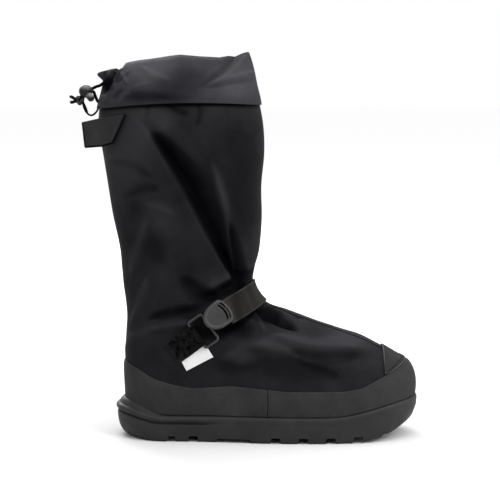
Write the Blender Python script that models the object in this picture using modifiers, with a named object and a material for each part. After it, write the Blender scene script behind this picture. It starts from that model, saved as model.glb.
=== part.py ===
"""Tall overshoe for the right foot: a lugged rubber cup sole, a coated rand and toe cap, a nylon upper with a
gathered collar, an instep strap with its buckle, a pull tab, and a drawcord with a cord lock.

Tables and sizes are in millimetres, and Blender's scene is in metres. The toe points along +X, +Y is the
wearer's left (the inner side of this right shoe) and +Z is up. The origin is on the floor, under the middle
of the sole's length."""

import math
from collections import namedtuple

import bmesh
import bpy
import numpy as np
from mathutils import Matrix, Vector

MM = 0.001

# Driving sizes of the sole
SOLE_BACK, SOLE_FRONT = -159, 159
HEEL_HALF_WIDTH = 46
BALL_HALF_WIDTH = 60
TOE_SPRING = 15
SPRING_START = 70
FLOOR_THICKNESS = 14
RIM_HEIGHT = 27
RIM_HEEL_RISE = 8
RIM_TOE_RISE = 15
RIM_TOE_FROM, RIM_TOE_RUN = 60, 100
RIM_HEEL_FROM, RIM_HEEL_RUN = -108, 50
TOE_SWING, TOE_SWING_FROM, TOE_SWING_RUN = 8, 10, 150
ARCH_SHIFT, ARCH_X, ARCH_REACH = 3, -25, 75
BALL_FROM, BALL_RUN = 0.25, 0.45
END_ROUNDNESS = 2.2
BEAD_FADE_FROM, BEAD_FADE_RUN = -78, 36
HEEL_CURVE_FROM, HEEL_CURVE_RUN = -108, 46
TOE_CURVE_FROM, TOE_CURVE_RUN = 100, 56

# Wall and gap sizes
UPPER_WALL = 1.3
COLLAR_WALL = 1.0
RAND_WALL = 1.2
CAP_WALL = 1.3
GAP = 0.5
OVERLAY_GAP = 0.7
INSOLE_THICKNESS, INSOLE_LEVEL, INSOLE_MARGIN = 3, 0.1, 1.2
AROUND = 44
TURN_STEP, LEVEL_STEP = 0.004, 0.05

# Instep strap, anchor strap and buckle
STRAP_WIDTH = 24.5
STRAP_WALL = 1.8
STRAP_ANGLE = math.radians(27)
STRAP_FRONT = (-11, 153)
STRAP_OUTER_END, STRAP_INNER_END = -43, -62
STRAP_LEVELS = (9.0, 15.0)
TAPE_WALL, TAPE_SLACK = 1.4, 0.4
ANCHOR_ANGLE = math.radians(36)
ANCHOR_BAR = (-73, 111)
ANCHOR_LENGTH = 33
RING_BAR_RADIUS = 1.3
RING_LENGTH, RING_WIDTH, RING_CORNER = 17, 32, 3
RING_HEIGHT = 3.6
PLATE_CENTRE = (-53.6, 130.1)
PLATE_ANGLE = math.radians(36)
PLATE_LENGTH, PLATE_WIDTH, PLATE_THICKNESS = 27, 27.5, 4.5
PLATE_END_BOW = 3.6
PLATE_HEIGHT = 5.4
PLATE_TILT = math.radians(7)
PLATE_NOSE = 0.64
PLATE_EDGE = 1.3
SLOT_WIDTH = 1.1
Slot = namedtuple("Slot", "place reach bow")
SLOTS = [Slot(0.7, 9.6, 2.0), Slot(-2.5, 9.0, 2.2)]
LABEL_WALL = 0.6

# The label's shape, seen from the side: points of its lower and upper edge, from its rear end to its front end.
LabelStation = namedtuple("LabelStation", "low_x low_z high_x high_z")
LABEL = [
    LabelStation(-83.9, 74.1, -89.0, 83.6), LabelStation(-72.5, 80.2, -78.0, 91.4),
    LabelStation(-61.0, 86.4, -67.2, 99.3), LabelStation(-56.1, 89.0, -61.7, 97.8),
]
LABEL_COLUMNS = 3

# Pull tab
TAB_ROOT = (-152, 324)
TAB_WALL, TAB_EDGE = 2.2, 0.5
TAB_STANDOFF = 1.5
TabCorner = namedtuple("TabCorner", "along up")
TAB_OUTLINE = [
    TabCorner(-9, 14.5), TabCorner(7, -14), TabCorner(19, -18), TabCorner(42, -20), TabCorner(45.5, 6),
    TabCorner(22, 10.5),
]

# Cord lock and drawcord
CORD_RADIUS = 1.4
TETHER_RADIUS = 0.7
LOCK_CENTRE = Vector((-188, -12, 361.5))
LOCK_RADIUS = 7
BUTTON_AXIS = Vector((0.56, -0.42, -0.71)).normalized()
BUTTON_RADIUS = 3.7
BUTTON_STEM, BUTTON_HEAD, BUTTON_TRAVEL = 4.5, 6.6, 4
BORE_GAP, BORE_END_GAP = 0.3, 0.8
KNOT_CENTRE = (-195.5, -12, 352)
KNOT_RADIUS, KNOT_STRETCH = 4, (0.9, 0.9, 1.15)

# Each row is one section of a skin, seen from the side as a line from its back point to its front point. It is
# heel_half wide on each side behind and ball_half ahead, rounded over heel_round and toe_round at its ends.
# spring is its share of the sole's toe spring, and bow lifts its middle.
Section = namedtuple(
    "Section",
    "back_x back_z front_x front_z heel_half ball_half heel_round toe_round spring bow",
)
SOLE_PLAN = Section(SOLE_BACK, 0, SOLE_FRONT, 0, HEEL_HALF_WIDTH, BALL_HALF_WIDTH, 54, 76, 0, 0)
UPPER_SECTIONS = [
    Section(-147.5, 14.5, 150, 14.5, 39.0, 53.5, 46, 70, 1.0, 0),
    Section(-148.6, 38, 155.5, 33, 41.5, 56.0, 48, 72, 0.7, 0),
    Section(-149.8, 62, 155.5, 57, 42.0, 55.0, 48, 74, 0.3, 0),
    Section(-150.2, 80, 149.0, 74.5, 41.5, 53.0, 48, 84, 0.1, 0),
    Section(-150.5, 91, 136, 83.5, 41.0, 50.0, 49, 100, 0, 0),
    Section(-149.5, 100, 117, 94.5, 40.5, 47.0, 50, 115, 0, 0),
    Section(-149, 108, 98, 104, 40.0, 45.0, 50, 122, 0, 0),
    Section(-148.5, 115, 74, 112, 39.5, 43.0, 52, 124, 0, 0),
    Section(-148, 122, 48, 121, 39.5, 42.0, 54, 120, 0, 0),
    Section(-148, 129, 25, 130, 39.5, 41.0, 56, 108, 0, 0),
    Section(-148.5, 136, 4, 138, 40.0, 40.5, 58, 92, 0, 0),
    Section(-149.5, 145, -7, 146, 40.5, 40.5, 62, 80, 0, 0),
    Section(-151.5, 160, -15, 161, 41.5, 41.5, 67, 70, 0, 0),
    Section(-153, 178, -13.5, 177, 43.5, 43.5, 69, 69, 0, 0),
    Section(-155, 199, -8.5, 197, 46.0, 46.0, 73, 73, 0, 0),
    Section(-161.5, 231, -6, 229, 49.5, 49.5, 77, 77, 0, 0),
    Section(-166.5, 263, -6.5, 263, 52.5, 52.5, 80, 80, 0, 0),
    Section(-171.5, 296, -3.5, 297, 55.0, 55.0, 84, 84, 0, 0),
    Section(-176, 325, -4.5, 326, 56.5, 56.5, 86, 86, 0, 3),
    Section(-174.5, 350, -9.5, 354, 56.0, 56.0, 84, 84, 0, 5),
]
COLLAR_SECTIONS = [
    Section(-177.8, 344, -6.2, 348, 58.8, 58.8, 86, 86, 0, 5),
    Section(-176.2, 351, -7.4, 355, 58.6, 58.6, 85, 85, 0, 5),
    Section(-173.2, 362, -10.4, 367, 54.5, 54.5, 82, 82, 0, 4),
    Section(-170.6, 374, -13.4, 382, 46.5, 46.5, 79, 79, 0, 3),
    Section(-166, 383, -16.2, 393, 35.5, 35.5, 75, 75, 0, 2),
    Section(-159, 389, -19, 401.5, 23.0, 23.0, 70, 70, 0, 0),
]
INSTEP_ROW, SHAFT_ROW = 9, 13
INSTEP_STEP, SHAFT_STEP = 0.5, 0.6

# Each row is one wide fold of the nylon, a trough where its height is negative, along a line seen from the side.
Fold = namedtuple("Fold", "side start_x start_z end_x end_z start_width end_width height")
OUTER, INNER = -1, 1
FOLDS = [
    Fold(OUTER, -124, 328, -62, 234, 12, 21, -7),
    Fold(OUTER, -74, 254, -30, 158, 21, 15, -7),
    Fold(OUTER, -46, 296, -28, 190, 12, 12, 3),
    Fold(OUTER, -126, 123, -66, 137, 9, 9, -3),
    Fold(OUTER, -70, 82, 80, 78, 22, 22, -4),
    Fold(OUTER, -6, 112, 96, 92, 13, 13, 3),
    Fold(INNER, -104, 310, -50, 205, 12, 18, -5),
    Fold(INNER, -60, 225, -28, 160, 18, 11, -5),
    Fold(INNER, -124, 126, -64, 138, 10, 10, -3),
    Fold(INNER, -66, 84, 78, 80, 22, 22, -4),
    Fold(INNER, -4, 112, 92, 94, 13, 13, 2),
]
FOLD_END = 0.25

# The collar's gathered back: how far the tuft behind the drawcord stands out, and its reach up and round.
TUFT_OUT, TUFT_LEVEL, TUFT_LEVELS, TUFT_TURN = 10, 3.9, 1.1, 0.045

# The collar's limp hem: how far it rises over a straight line, and how far it leans up to the outer side.
HemPoint = namedtuple("HemPoint", "x rise")
HEM = [
    HemPoint(-159, -4.5), HemPoint(-144, -2.5), HemPoint(-114, -1.2), HemPoint(-90, -0.8), HemPoint(-70, -4),
    HemPoint(-50, -6.4), HemPoint(-30, -4.6), HemPoint(-19, -1),
]
HEM_LEAN = 0.2

# Upper edge of the rand, along the length.
RandEdge = namedtuple("RandEdge", "x z")
RAND_TOP = [
    RandEdge(-154, 80), RandEdge(-146, 79), RandEdge(-136, 75), RandEdge(-117, 65), RandEdge(-96, 59),
    RandEdge(-78, 56), RandEdge(-37, 59), RandEdge(-13, 57), RandEdge(20, 54), RandEdge(79, 54),
    RandEdge(97, 57), RandEdge(112, 64), RandEdge(122, 68), RandEdge(138, 75), RandEdge(147, 79),
    RandEdge(158, 80),
]
RAND_SEAM_X = 0
RAND_SEAM_GAP = 0.6
RAND_LEVEL = 1.5
CAP_REAR_X = 123
CAP_CORNER_Z = 70.5
CAP_CORNER_SHARE = 0.97
CAP_RAND_GAP = 1.2

# Rings of the sole's outer side, from the tread to the rim. A ring is measured up from the tread or the rim; the
# bead, heel and toe columns are added round the heel's bead, behind the heel and in front of the toe.
SoleRing = namedtuple("SoleRing", "from_rim rise inset bead_inset heel_rise heel_inset toe_rise toe_inset")
SOLE_RINGS = [
    SoleRing(False, 0.0, 2.6, 0, 0, 9.0, 0, 8.0),
    SoleRing(False, 1.2, 1.4, 0, 4.0, 4.0, 4.0, 3.6),
    SoleRing(False, 6.0, 0.8, 0, 8.0, 0.8, 7.0, 1.0),
    SoleRing(True, -8.6, 0.4, 0, 0, 0, 0, 0),
    SoleRing(True, -7.2, 0.4, 1.2, 0, 0, 0, 0),
    SoleRing(True, -4.2, 0.2, -0.8, 0, 0, 0, 0),
    SoleRing(True, -1.4, 0.4, -0.3, 0, 0, 0, 0),
    SoleRing(True, -0.1, 1.4, 0.4, 0, 0, 0, 0),
]

# Grooves of the tread. A notch row is one cut across, at x, of its width, from the side edges inwards.
NotchRow = namedtuple("NotchRow", "x width")
NOTCHES = [NotchRow(-100, 7)] + [NotchRow(-77, 9)] + [NotchRow(8 + 28.5 * step, 9) for step in range(5)]
NOTCH_DEPTH, NOTCH_FLARE, NOTCH_INNER_Y = 6, 1.5, 15
WAIST_FROM, WAIST_TO = -52, -19
WAIST_DEPTH, WAIST_FLARE = 4, 2.5
GROOVE_Y, GROOVE_WIDTH, GROOVE_DEPTH = 26, 5, 5.3
GROOVES = [(-128, -58), (13, 128)]
CUT_REACH, UNDERCUT = 90, 2


def ease(share):
    """A smooth step from 0 to 1 as share goes from 0 to 1."""
    share = min(max(share, 0.0), 1.0)
    return share * share * (3 - 2 * share)


def bump(distance):
    """A smooth bump, 1 at distance 0 and 0 from distance 1 on."""
    return (1 - min(distance * distance, 1.0)) ** 2


def rounding(share):
    """The rise of a rounded end, from 0 at its tip to 1 where the rounding stops."""
    return math.sqrt(1 - (1 - min(max(share, 0.0), 1.0)) ** END_ROUNDNESS)


def toe_spring(x):
    """How far the sole is lifted off the floor at x."""
    return TOE_SPRING * max(0.0, (x - SPRING_START) / (SOLE_FRONT - SPRING_START)) ** 2


def rim_height(x):
    toe = RIM_TOE_RISE * ease((x - RIM_TOE_FROM) / RIM_TOE_RUN)
    heel = RIM_HEEL_RISE * ease((RIM_HEEL_FROM - x) / RIM_HEEL_RUN)
    return RIM_HEIGHT + toe + heel


def centre_y(x):
    """The middle line of the foot: it leans to the inner side at the toe, and off the arch at the waist."""
    toe = TOE_SWING * ease((x - TOE_SWING_FROM) / TOE_SWING_RUN)
    return toe - ARCH_SHIFT * bump((x - ARCH_X) / ARCH_REACH)


def half_width(row, along):
    """Half the width of a section, at a share of the way from its back to its front."""
    length = math.hypot(row.front_x - row.back_x, row.front_z - row.back_z)
    broad = row.heel_half + (row.ball_half - row.heel_half) * ease((along - BALL_FROM) / BALL_RUN)
    return broad * rounding(along * length / row.heel_round) * rounding((1 - along) * length / row.toe_round)


def fold_height(side, x, z):
    """How far the folds on one side lift the nylon at a point seen from the side."""
    height = 0.0
    for fold in FOLDS:
        if fold.side != side:
            continue
        run_x, run_z = fold.end_x - fold.start_x, fold.end_z - fold.start_z
        run = math.hypot(run_x, run_z)
        along = ((x - fold.start_x) * run_x + (z - fold.start_z) * run_z) / run ** 2
        across = ((x - fold.start_x) * run_z - (z - fold.start_z) * run_x) / run
        width = fold.start_width + (fold.end_width - fold.start_width) * min(max(along, 0.0), 1.0)
        ends = ease(along / FOLD_END) * ease((1 - along) / FOLD_END)
        height += fold.height * bump(across / width) * ends
    return height


def section_at(rows, level):
    """The section at a level, on a smooth curve through the rows of a table."""
    last = len(rows) - 1
    first = min(max(int(level), 0), last - 1)
    share = min(max(level - first, 0.0), 1.0)
    start, end = np.array(rows[first]), np.array(rows[first + 1])
    before = np.array(rows[first - 1]) if first > 0 else 2 * start - end
    after = np.array(rows[first + 2]) if first + 2 <= last else 2 * end - start
    slope_in, slope_out = (end - before) / 2, (after - start) / 2
    bend = 3 * (end - start) - 2 * slope_in - slope_out
    curl = 2 * (start - end) + slope_in + slope_out
    return Section(*(start + slope_in * share + bend * share ** 2 + curl * share ** 3))


class Skin:
    """A surface through a table of sections. A place on it is a turn, 0 at the back, 0.5 at the front and up to
    there on the outer side, and a level, the number of a section. Points are in millimetres."""

    def __init__(self, rows, folded=False, tufted=False):
        self.rows = rows
        self.folded = folded
        self.tufted = tufted
        self.top = len(rows) - 1

    def point(self, turn, level):
        turn = turn % 1
        row = section_at(self.rows, level)
        along = (1 - math.cos(2 * math.pi * turn)) / 2
        side = OUTER if turn < 0.5 else INNER
        x = row.back_x + (row.front_x - row.back_x) * along
        z = row.back_z + (row.front_z - row.back_z) * along
        z += row.spring * toe_spring(x) + row.bow * 4 * along * (1 - along)
        half = half_width(row, along)
        if self.folded:
            half += fold_height(side, x, z) * ease(abs(math.sin(2 * math.pi * turn)) / 0.5)
        if self.tufted:
            off_back = min(turn, 1 - turn)
            rise = np.interp(x, [place.x for place in HEM], [place.rise for place in HEM])
            z += (rise - HEM_LEAN * side * half) * (level / self.top) ** 2
            x -= TUFT_OUT * bump(off_back / TUFT_TURN) * bump((level - TUFT_LEVEL) / TUFT_LEVELS)
        return Vector((x, centre_y(x) + side * half, z))

    def normal(self, turn, level):
        around = self.point(turn + TURN_STEP, level) - self.point(turn - TURN_STEP, level)
        low, high = max(level - LEVEL_STEP, 0), min(level + LEVEL_STEP, self.top)
        return around.cross(self.point(turn, high) - self.point(turn, low)).normalized()

    def grown(self, turn, level, height):
        return self.point(turn, level) + self.normal(turn, level) * height

    def level_at(self, turn, z_of_x):
        """The level where the skin crosses a height that depends on x."""
        low, high = 0.0, float(self.top)
        for _ in range(40):
            middle = (low + high) / 2
            point = self.point(turn, middle)
            if point.z < z_of_x(point.x):
                low = middle
            else:
                high = middle
        return low

    def level_behind(self, turn, x):
        """The level above which the foot's front, at a turn, is behind x."""
        low, high = 0.0, float(INSTEP_ROW)
        for _ in range(40):
            middle = (low + high) / 2
            if self.point(turn, middle).x > x:
                low = middle
            else:
                high = middle
        return low

    def locate(self, x, z):
        """The turn and level of the point on the outer side that is at x and z, seen from the side."""
        low, high = 0.0, float(self.top)
        for _ in range(40):
            middle = (low + high) / 2
            row = section_at(self.rows, middle)
            along = min(max((x - row.back_x) / (row.front_x - row.back_x), 0.0), 1.0)
            line = row.back_z + (row.front_z - row.back_z) * along
            line += row.spring * toe_spring(x) + row.bow * 4 * along * (1 - along)
            if line < z:
                low = middle
            else:
                high = middle
        return math.acos(1 - 2 * along) / (2 * math.pi), low

    def turn_at(self, x, level):
        """The turn on the outer side where a section passes x."""
        row = section_at(self.rows, level)
        along = min(max((x - row.back_x) / (row.front_x - row.back_x), 0.0), 1.0)
        return math.acos(1 - 2 * along) / (2 * math.pi)


UPPER = Skin(UPPER_SECTIONS, folded=True)
TAUT = Skin(UPPER_SECTIONS)
COLLAR = Skin(COLLAR_SECTIONS, tufted=True)


def clear_scene():
    for item in list(bpy.data.objects):
        bpy.data.objects.remove(item)


def new_collection(name):
    collection = bpy.data.collections.new(name)
    bpy.context.scene.collection.children.link(collection)
    return collection


def new_material(name, colour, roughness):
    material = bpy.data.materials.new(name)
    material.use_nodes = True
    shader = material.node_tree.nodes["Principled BSDF"]
    shader.inputs["Base Color"].default_value = (*colour, 1)
    shader.inputs["Roughness"].default_value = roughness
    shader.inputs["Metallic"].default_value = 0
    return material


def add_object(name, data, material=None):
    """Puts a mesh or curve in the overshoe's collection, under its empty."""
    made = bpy.data.objects.new(name, data)
    PARTS.objects.link(made)
    made.parent = ROOT
    if material:
        data.materials.append(material)
    return made


def mesh_from(name, points, faces):
    """A smooth mesh of points in millimetres."""
    mesh = bpy.data.meshes.new(name)
    mesh.from_pydata([Vector(point) * MM for point in points], [], faces)
    mesh.shade_smooth()
    return mesh


def solid_from(name, points, faces, sharp_angle=35):
    """A closed mesh of points in millimetres, with its faces turned out and its sharp edges kept."""
    mesh = mesh_from(name, points, faces)
    body = bmesh.new()
    body.from_mesh(mesh)
    bmesh.ops.recalc_face_normals(body, faces=body.faces)
    body.to_mesh(mesh)
    body.free()
    mesh.set_sharp_from_angle(angle=math.radians(sharp_angle))
    return mesh


def grid_faces(rows, columns, closed=False):
    """Faces between neighbouring rows of points; a closed grid joins its last column to its first."""
    faces = []
    for row in range(rows - 1):
        for column in range(columns if closed else columns - 1):
            after = (column + 1) % columns
            low, high = row * columns, (row + 1) * columns
            faces.append((low + column, low + after, high + after, high + column))
    return faces


def add_shell(name, grid, wall, material, closed=False, side=1):
    """A wall on a grid of points, thickened to the side that its faces point to, or away from it."""
    points = [point for row in grid for point in row]
    mesh = mesh_from(name, points, grid_faces(len(grid), len(grid[0]), closed))
    made = add_object(name, mesh, material)
    solidify = made.modifiers.new("wall", "SOLIDIFY")
    solidify.thickness = wall * MM
    solidify.offset = side
    return made


def turns(count=AROUND):
    return [step / count for step in range(count)]


def upper_levels():
    """Levels of the upper's rows: each section of the foot, and closer ones at the instep and up the shaft."""
    foot = list(range(INSTEP_ROW))
    instep = list(np.arange(INSTEP_ROW, SHAFT_ROW, INSTEP_STEP))
    rows = round((UPPER.top - SHAFT_ROW) / SHAFT_STEP)
    return foot + instep + list(np.linspace(SHAFT_ROW, UPPER.top, rows + 1))


def add_upper():
    grid = [[UPPER.point(turn, level) for turn in turns()] for level in upper_levels()]
    add_shell("upper", grid, UPPER_WALL, NYLON, closed=True, side=-1)


def add_collar():
    levels = np.linspace(0, COLLAR.top, 7)
    grid = [[COLLAR.point(turn, level) for turn in turns()] for level in levels]
    add_shell("collar", grid, COLLAR_WALL, COLLAR_NYLON, closed=True, side=-1)


def sole_edge(turn, inset):
    """A point of the sole's outline, moved inwards, with z left at 0."""
    def at(place):
        along = (1 - math.cos(2 * math.pi * place)) / 2
        x = SOLE_PLAN.back_x + (SOLE_PLAN.front_x - SOLE_PLAN.back_x) * along
        side = OUTER if place % 1 < 0.5 else INNER
        return Vector((x, centre_y(x) + side * half_width(SOLE_PLAN, along), 0))

    run = (at(turn + TURN_STEP / 2) - at(turn - TURN_STEP / 2)).normalized()
    outwards = Vector((run.y, -run.x, 0))
    return at(turn) - outwards * inset


def sole_ring(ring):
    points = []
    for turn in turns():
        x = sole_edge(turn, 0).x
        bead = 1 - ease((x - BEAD_FADE_FROM) / BEAD_FADE_RUN)
        heel = ease((HEEL_CURVE_FROM - x) / HEEL_CURVE_RUN)
        toe = ease((x - TOE_CURVE_FROM) / TOE_CURVE_RUN)
        inset = ring.inset + ring.bead_inset * bead + ring.heel_inset * heel + ring.toe_inset * toe
        base = rim_height(x) if ring.from_rim else toe_spring(x)
        point = sole_edge(turn, inset)
        point.z = base + ring.rise + ring.heel_rise * heel + ring.toe_rise * toe
        points.append(point)
    return points


def cup_ring(share):
    """A ring of the cup's inner side, clear of the upper: share 0 is the rim and 1 is the floor."""
    points = []
    for turn in turns():
        rim = rim_height(sole_edge(turn, 0).x)
        level = UPPER.level_at(turn, lambda x: rim) * (1 - share)
        point = UPPER.grown(turn, level, GAP)
        if share == 1:
            point.z = FLOOR_THICKNESS + toe_spring(point.x)
        points.append(point)
    return points


def across_faces(first):
    """Faces that close a ring, each between the outer side and the inner side at the same length."""
    half = AROUND // 2
    faces = [(first, first + 1, first + AROUND - 1)]
    for step in range(1, half - 1):
        faces.append((first + step, first + step + 1, first + AROUND - step - 1, first + AROUND - step))
    faces.append((first + half - 1, first + half, first + half + 1))
    return faces


def add_outsole():
    rings = [sole_ring(ring) for ring in SOLE_RINGS]
    rings += [cup_ring(share) for share in (0, 0.5, 1)]
    points = [point for ring in rings for point in ring]
    faces = grid_faces(len(rings), AROUND, closed=True)
    faces += across_faces(0) + across_faces((len(rings) - 1) * AROUND)
    made = add_object("outsole", solid_from("outsole", points, faces), RUBBER)
    cut = made.modifiers.new("tread", "BOOLEAN")
    cut.object = tread_cutter()
    cut.use_self = True


def cross_cut(x, width, near_y, far_y, depth, flare):
    """Two ends of a cut across the tread at x, wider at the ground; each end is a loop of four corners."""
    ends = []
    for y in (near_y, far_y):
        loop = []
        for end, spread, height in ((-1, flare, -UNDERCUT), (1, flare, -UNDERCUT), (1, 0, depth), (-1, 0, depth)):
            along = x + end * (width / 2 + spread)
            loop.append(Vector((along, y, toe_spring(along) + height)))
        ends.append(loop)
    return ends


def long_cut(start, end, side):
    """Loops of four corners along a groove that follows the foot's middle line and the toe spring."""
    loops = []
    for x in np.linspace(start, end, 7):
        middle = centre_y(x) + side * GROOVE_Y
        corners = ((-1, -UNDERCUT), (1, -UNDERCUT), (1, GROOVE_DEPTH), (-1, GROOVE_DEPTH))
        loops.append([Vector((x, middle + edge * GROOVE_WIDTH / 2, toe_spring(x) + height))
                      for edge, height in corners])
    return loops


def tread_cutter():
    """The tread's grooves: notches in from both edges, two long grooves and the raised waist."""
    points, faces = [], []

    def add_prism(loops):
        first = len(points)
        points.extend(corner for loop in loops for corner in loop)
        faces.extend(tuple(first + corner for corner in face) for face in grid_faces(len(loops), 4, closed=True))
        faces.extend((tuple(range(first, first + 4)), tuple(range(len(points) - 4, len(points)))))

    for notch in NOTCHES:
        for side in (OUTER, INNER):
            middle = centre_y(notch.x)
            add_prism(cross_cut(notch.x, notch.width, middle + side * NOTCH_INNER_Y, middle + side * CUT_REACH,
                                NOTCH_DEPTH, NOTCH_FLARE))
    waist_middle = (WAIST_FROM + WAIST_TO) / 2
    add_prism(cross_cut(waist_middle, WAIST_TO - WAIST_FROM, -CUT_REACH, CUT_REACH, WAIST_DEPTH, WAIST_FLARE))
    for start, end in GROOVES:
        for side in (OUTER, INNER):
            add_prism(long_cut(start, end, side))
    cutter = bpy.data.objects.new("tread_cutter", solid_from("tread_cutter", points, faces))
    CUTTERS.objects.link(cutter)
    hide_cutter(cutter)
    return cutter


def hide_cutter(cutter):
    cutter.parent = ROOT
    cutter.hide_render = True
    cutter.display_type = "WIRE"


def add_insole():
    """A board on the cup's floor, just inside the upper's wall."""
    ring = []
    for turn in turns():
        point = UPPER.grown(turn, INSOLE_LEVEL, -UPPER_WALL - INSOLE_MARGIN)
        point.z = FLOOR_THICKNESS + toe_spring(point.x) + GAP
        ring.append(point)
    mesh = mesh_from("insole", ring, across_faces(0))
    made = add_object("insole", mesh, BOARD)
    solidify = made.modifiers.new("board", "SOLIDIFY")
    solidify.thickness = INSOLE_THICKNESS * MM
    solidify.offset = 1


def rand_top(x):
    return float(np.interp(x, [edge.x for edge in RAND_TOP], [edge.z for edge in RAND_TOP]))


def rand_column(turn, rows=5):
    """One upright line of the rand's inner face, from just above the sole's rim to its upper edge."""
    rim = rim_height(sole_edge(turn, 0).x) + GAP
    low = UPPER.level_at(turn, lambda x: rim)
    high = UPPER.level_at(turn, rand_top)
    return [UPPER.grown(turn, level, OVERLAY_GAP) for level in np.linspace(low, high, rows)]


def add_rand(name, first_turn, last_turn):
    """One half of the rand, between its two upright seams."""
    between = [step / AROUND for step in range(-AROUND, AROUND) if first_turn < step / AROUND < last_turn]
    columns = [rand_column(turn) for turn in (first_turn, *between, last_turn)]
    add_shell(name, list(zip(*columns)), RAND_WALL, COATED)


def add_rands():
    seam = UPPER.turn_at(RAND_SEAM_X, RAND_LEVEL)
    half_gap = seam - UPPER.turn_at(RAND_SEAM_X - RAND_SEAM_GAP / 2, RAND_LEVEL)
    add_rand("rand_rear", -seam + half_gap, seam - half_gap)
    add_rand("rand_front", seam + half_gap, 1 - seam - half_gap)


def add_toe_cap(columns=17, rows=5):
    """The patch between its rear edge, straight across the toe, and the rand's upper edge."""
    corner_turn, _ = UPPER.locate(CAP_REAR_X, CAP_CORNER_Z)
    lines = []
    for across in np.linspace(-CAP_CORNER_SHARE, CAP_CORNER_SHARE, columns):
        turn = 0.5 + (0.5 - corner_turn) * across
        low = UPPER.level_at(turn, lambda x: rand_top(x) + CAP_RAND_GAP)
        high = UPPER.level_behind(turn, CAP_REAR_X)
        lines.append([UPPER.grown(turn, level, OVERLAY_GAP) for level in np.linspace(low, high, rows)])
    add_shell("toe_cap", list(zip(*lines)), CAP_WALL, CAP_CLOTH)


def side_axes(angle):
    """Along a strap and across it, seen from the outer side."""
    return Vector((math.cos(angle), math.sin(angle))), Vector((-math.sin(angle), math.cos(angle)))


def on_side(centre, angle, along, across, height):
    """A point above the upper's outer side, in the frame of a strap with this centre and angle."""
    run, cross = side_axes(angle)
    place = Vector(centre) + run * along + cross * across
    return TAUT.grown(*TAUT.locate(place.x, place.y), height)


def add_instep_strap(columns=13):
    """The webbing, from under the buckle's plate, over the instep, to its sewn end on the inner side."""
    run, cross = side_axes(STRAP_ANGLE)
    lines = []
    for across in np.linspace(-STRAP_WIDTH / 2, STRAP_WIDTH / 2, 4):
        start = Vector(STRAP_FRONT) + cross * across

        def above_line(level):
            row = section_at(UPPER.rows, level)
            return (Vector((row.front_x, row.front_z)) - start).dot(cross)

        low, high = STRAP_LEVELS
        for _ in range(40):
            middle = (low + high) / 2
            low, high = (middle, high) if above_line(middle) < 0 else (low, middle)
        row = section_at(UPPER.rows, low)
        reach = (Vector((row.front_x, row.front_z)) - start).dot(run)
        line = []
        for side, end in ((OUTER, STRAP_OUTER_END), (INNER, STRAP_INNER_END)):
            swing = [math.sin(share * math.pi / 2) for share in np.linspace(0, 1, columns)]
            stretch = []
            for share in swing:
                place = start + run * (end + (reach - end) * share)
                turn, level = TAUT.locate(place.x, place.y)
                stretch.append(TAUT.grown(turn if side == OUTER else 1 - turn, level, OVERLAY_GAP))
            line += stretch if side == OUTER else stretch[-2::-1]
        lines.append(line)
    add_shell("instep_strap", lines, STRAP_WALL, WEBBING)


def add_anchor_strap():
    """Hook-and-loop tape, sewn flat at one end, folded round the ring's bar and laid back on itself."""
    loop = RING_BAR_RADIUS + TAPE_SLACK + TAPE_WALL / 2
    low = RING_HEIGHT - loop
    path = [(-ANCHOR_LENGTH * share, low) for share in np.linspace(1, 0, 8)]
    path += [(loop * math.cos(turn), RING_HEIGHT + loop * math.sin(turn))
             for turn in np.linspace(-math.pi / 2, math.pi / 2, 7)[1:]]
    path += [(-(ANCHOR_LENGTH - 2) * share,
              RING_HEIGHT + loop + (TAPE_WALL + TAPE_SLACK - 2 * loop) * ease(share * 2))
             for share in np.linspace(0, 1, 8)[1:]]
    grid = []
    for across in np.linspace(-STRAP_WIDTH / 2, STRAP_WIDTH / 2, 4):
        grid.append([on_side(ANCHOR_BAR, ANCHOR_ANGLE, along, across, height) for along, height in path])
    add_shell("anchor_strap", grid, TAPE_WALL, TAPE, side=0)


def add_tube(name, points, radius, material, cyclic=False, resolution=2):
    """A round bar or cord through points in millimetres."""
    curve = bpy.data.curves.new(name, "CURVE")
    curve.dimensions = "3D"
    curve.bevel_depth = radius * MM
    curve.bevel_resolution = resolution
    curve.use_fill_caps = not cyclic
    spline = curve.splines.new("POLY")
    spline.points.add(len(points) - 1)
    for place, point in zip(spline.points, points):
        place.co = (*(Vector(point) * MM), 1)
    spline.use_cyclic_u = cyclic
    spline.use_smooth = True
    return add_object(name, curve, material)


def add_buckle_ring():
    """A rectangular ring with round corners, one bar in the anchor strap's fold and one under the plate."""
    path = []
    middle = RING_LENGTH / 2
    for quarter in range(4):
        sign_x = 1 if quarter in (0, 3) else -1
        sign_y = 1 if quarter in (0, 1) else -1
        for step in np.linspace(0, math.pi / 2, 4):
            turn = quarter * math.pi / 2 + step
            path.append((middle + sign_x * (RING_LENGTH / 2 - RING_CORNER) + RING_CORNER * math.cos(turn),
                         sign_y * (RING_WIDTH / 2 - RING_CORNER) + RING_CORNER * math.sin(turn)))
    points = [on_side(ANCHOR_BAR, ANCHOR_ANGLE, along, across, RING_HEIGHT) for along, across in path]
    add_tube("buckle_ring", points, RING_BAR_RADIUS, MOULDED, cyclic=True)


def side_matrix(centre, angle, height):
    """A rigid frame on the outer side: x along the strap, z off the upper."""
    middle = on_side(centre, angle, 0, 0, 0)
    run = (on_side(centre, angle, 5, 0, 0) - on_side(centre, angle, -5, 0, 0)).normalized()
    out = TAUT.normal(*TAUT.locate(*centre))
    out = (out - run * out.dot(run)).normalized()
    cross = out.cross(run)
    place = Matrix((run, cross, out)).transposed().to_4x4()
    place.translation = (middle + out * height) * MM
    return place


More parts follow.
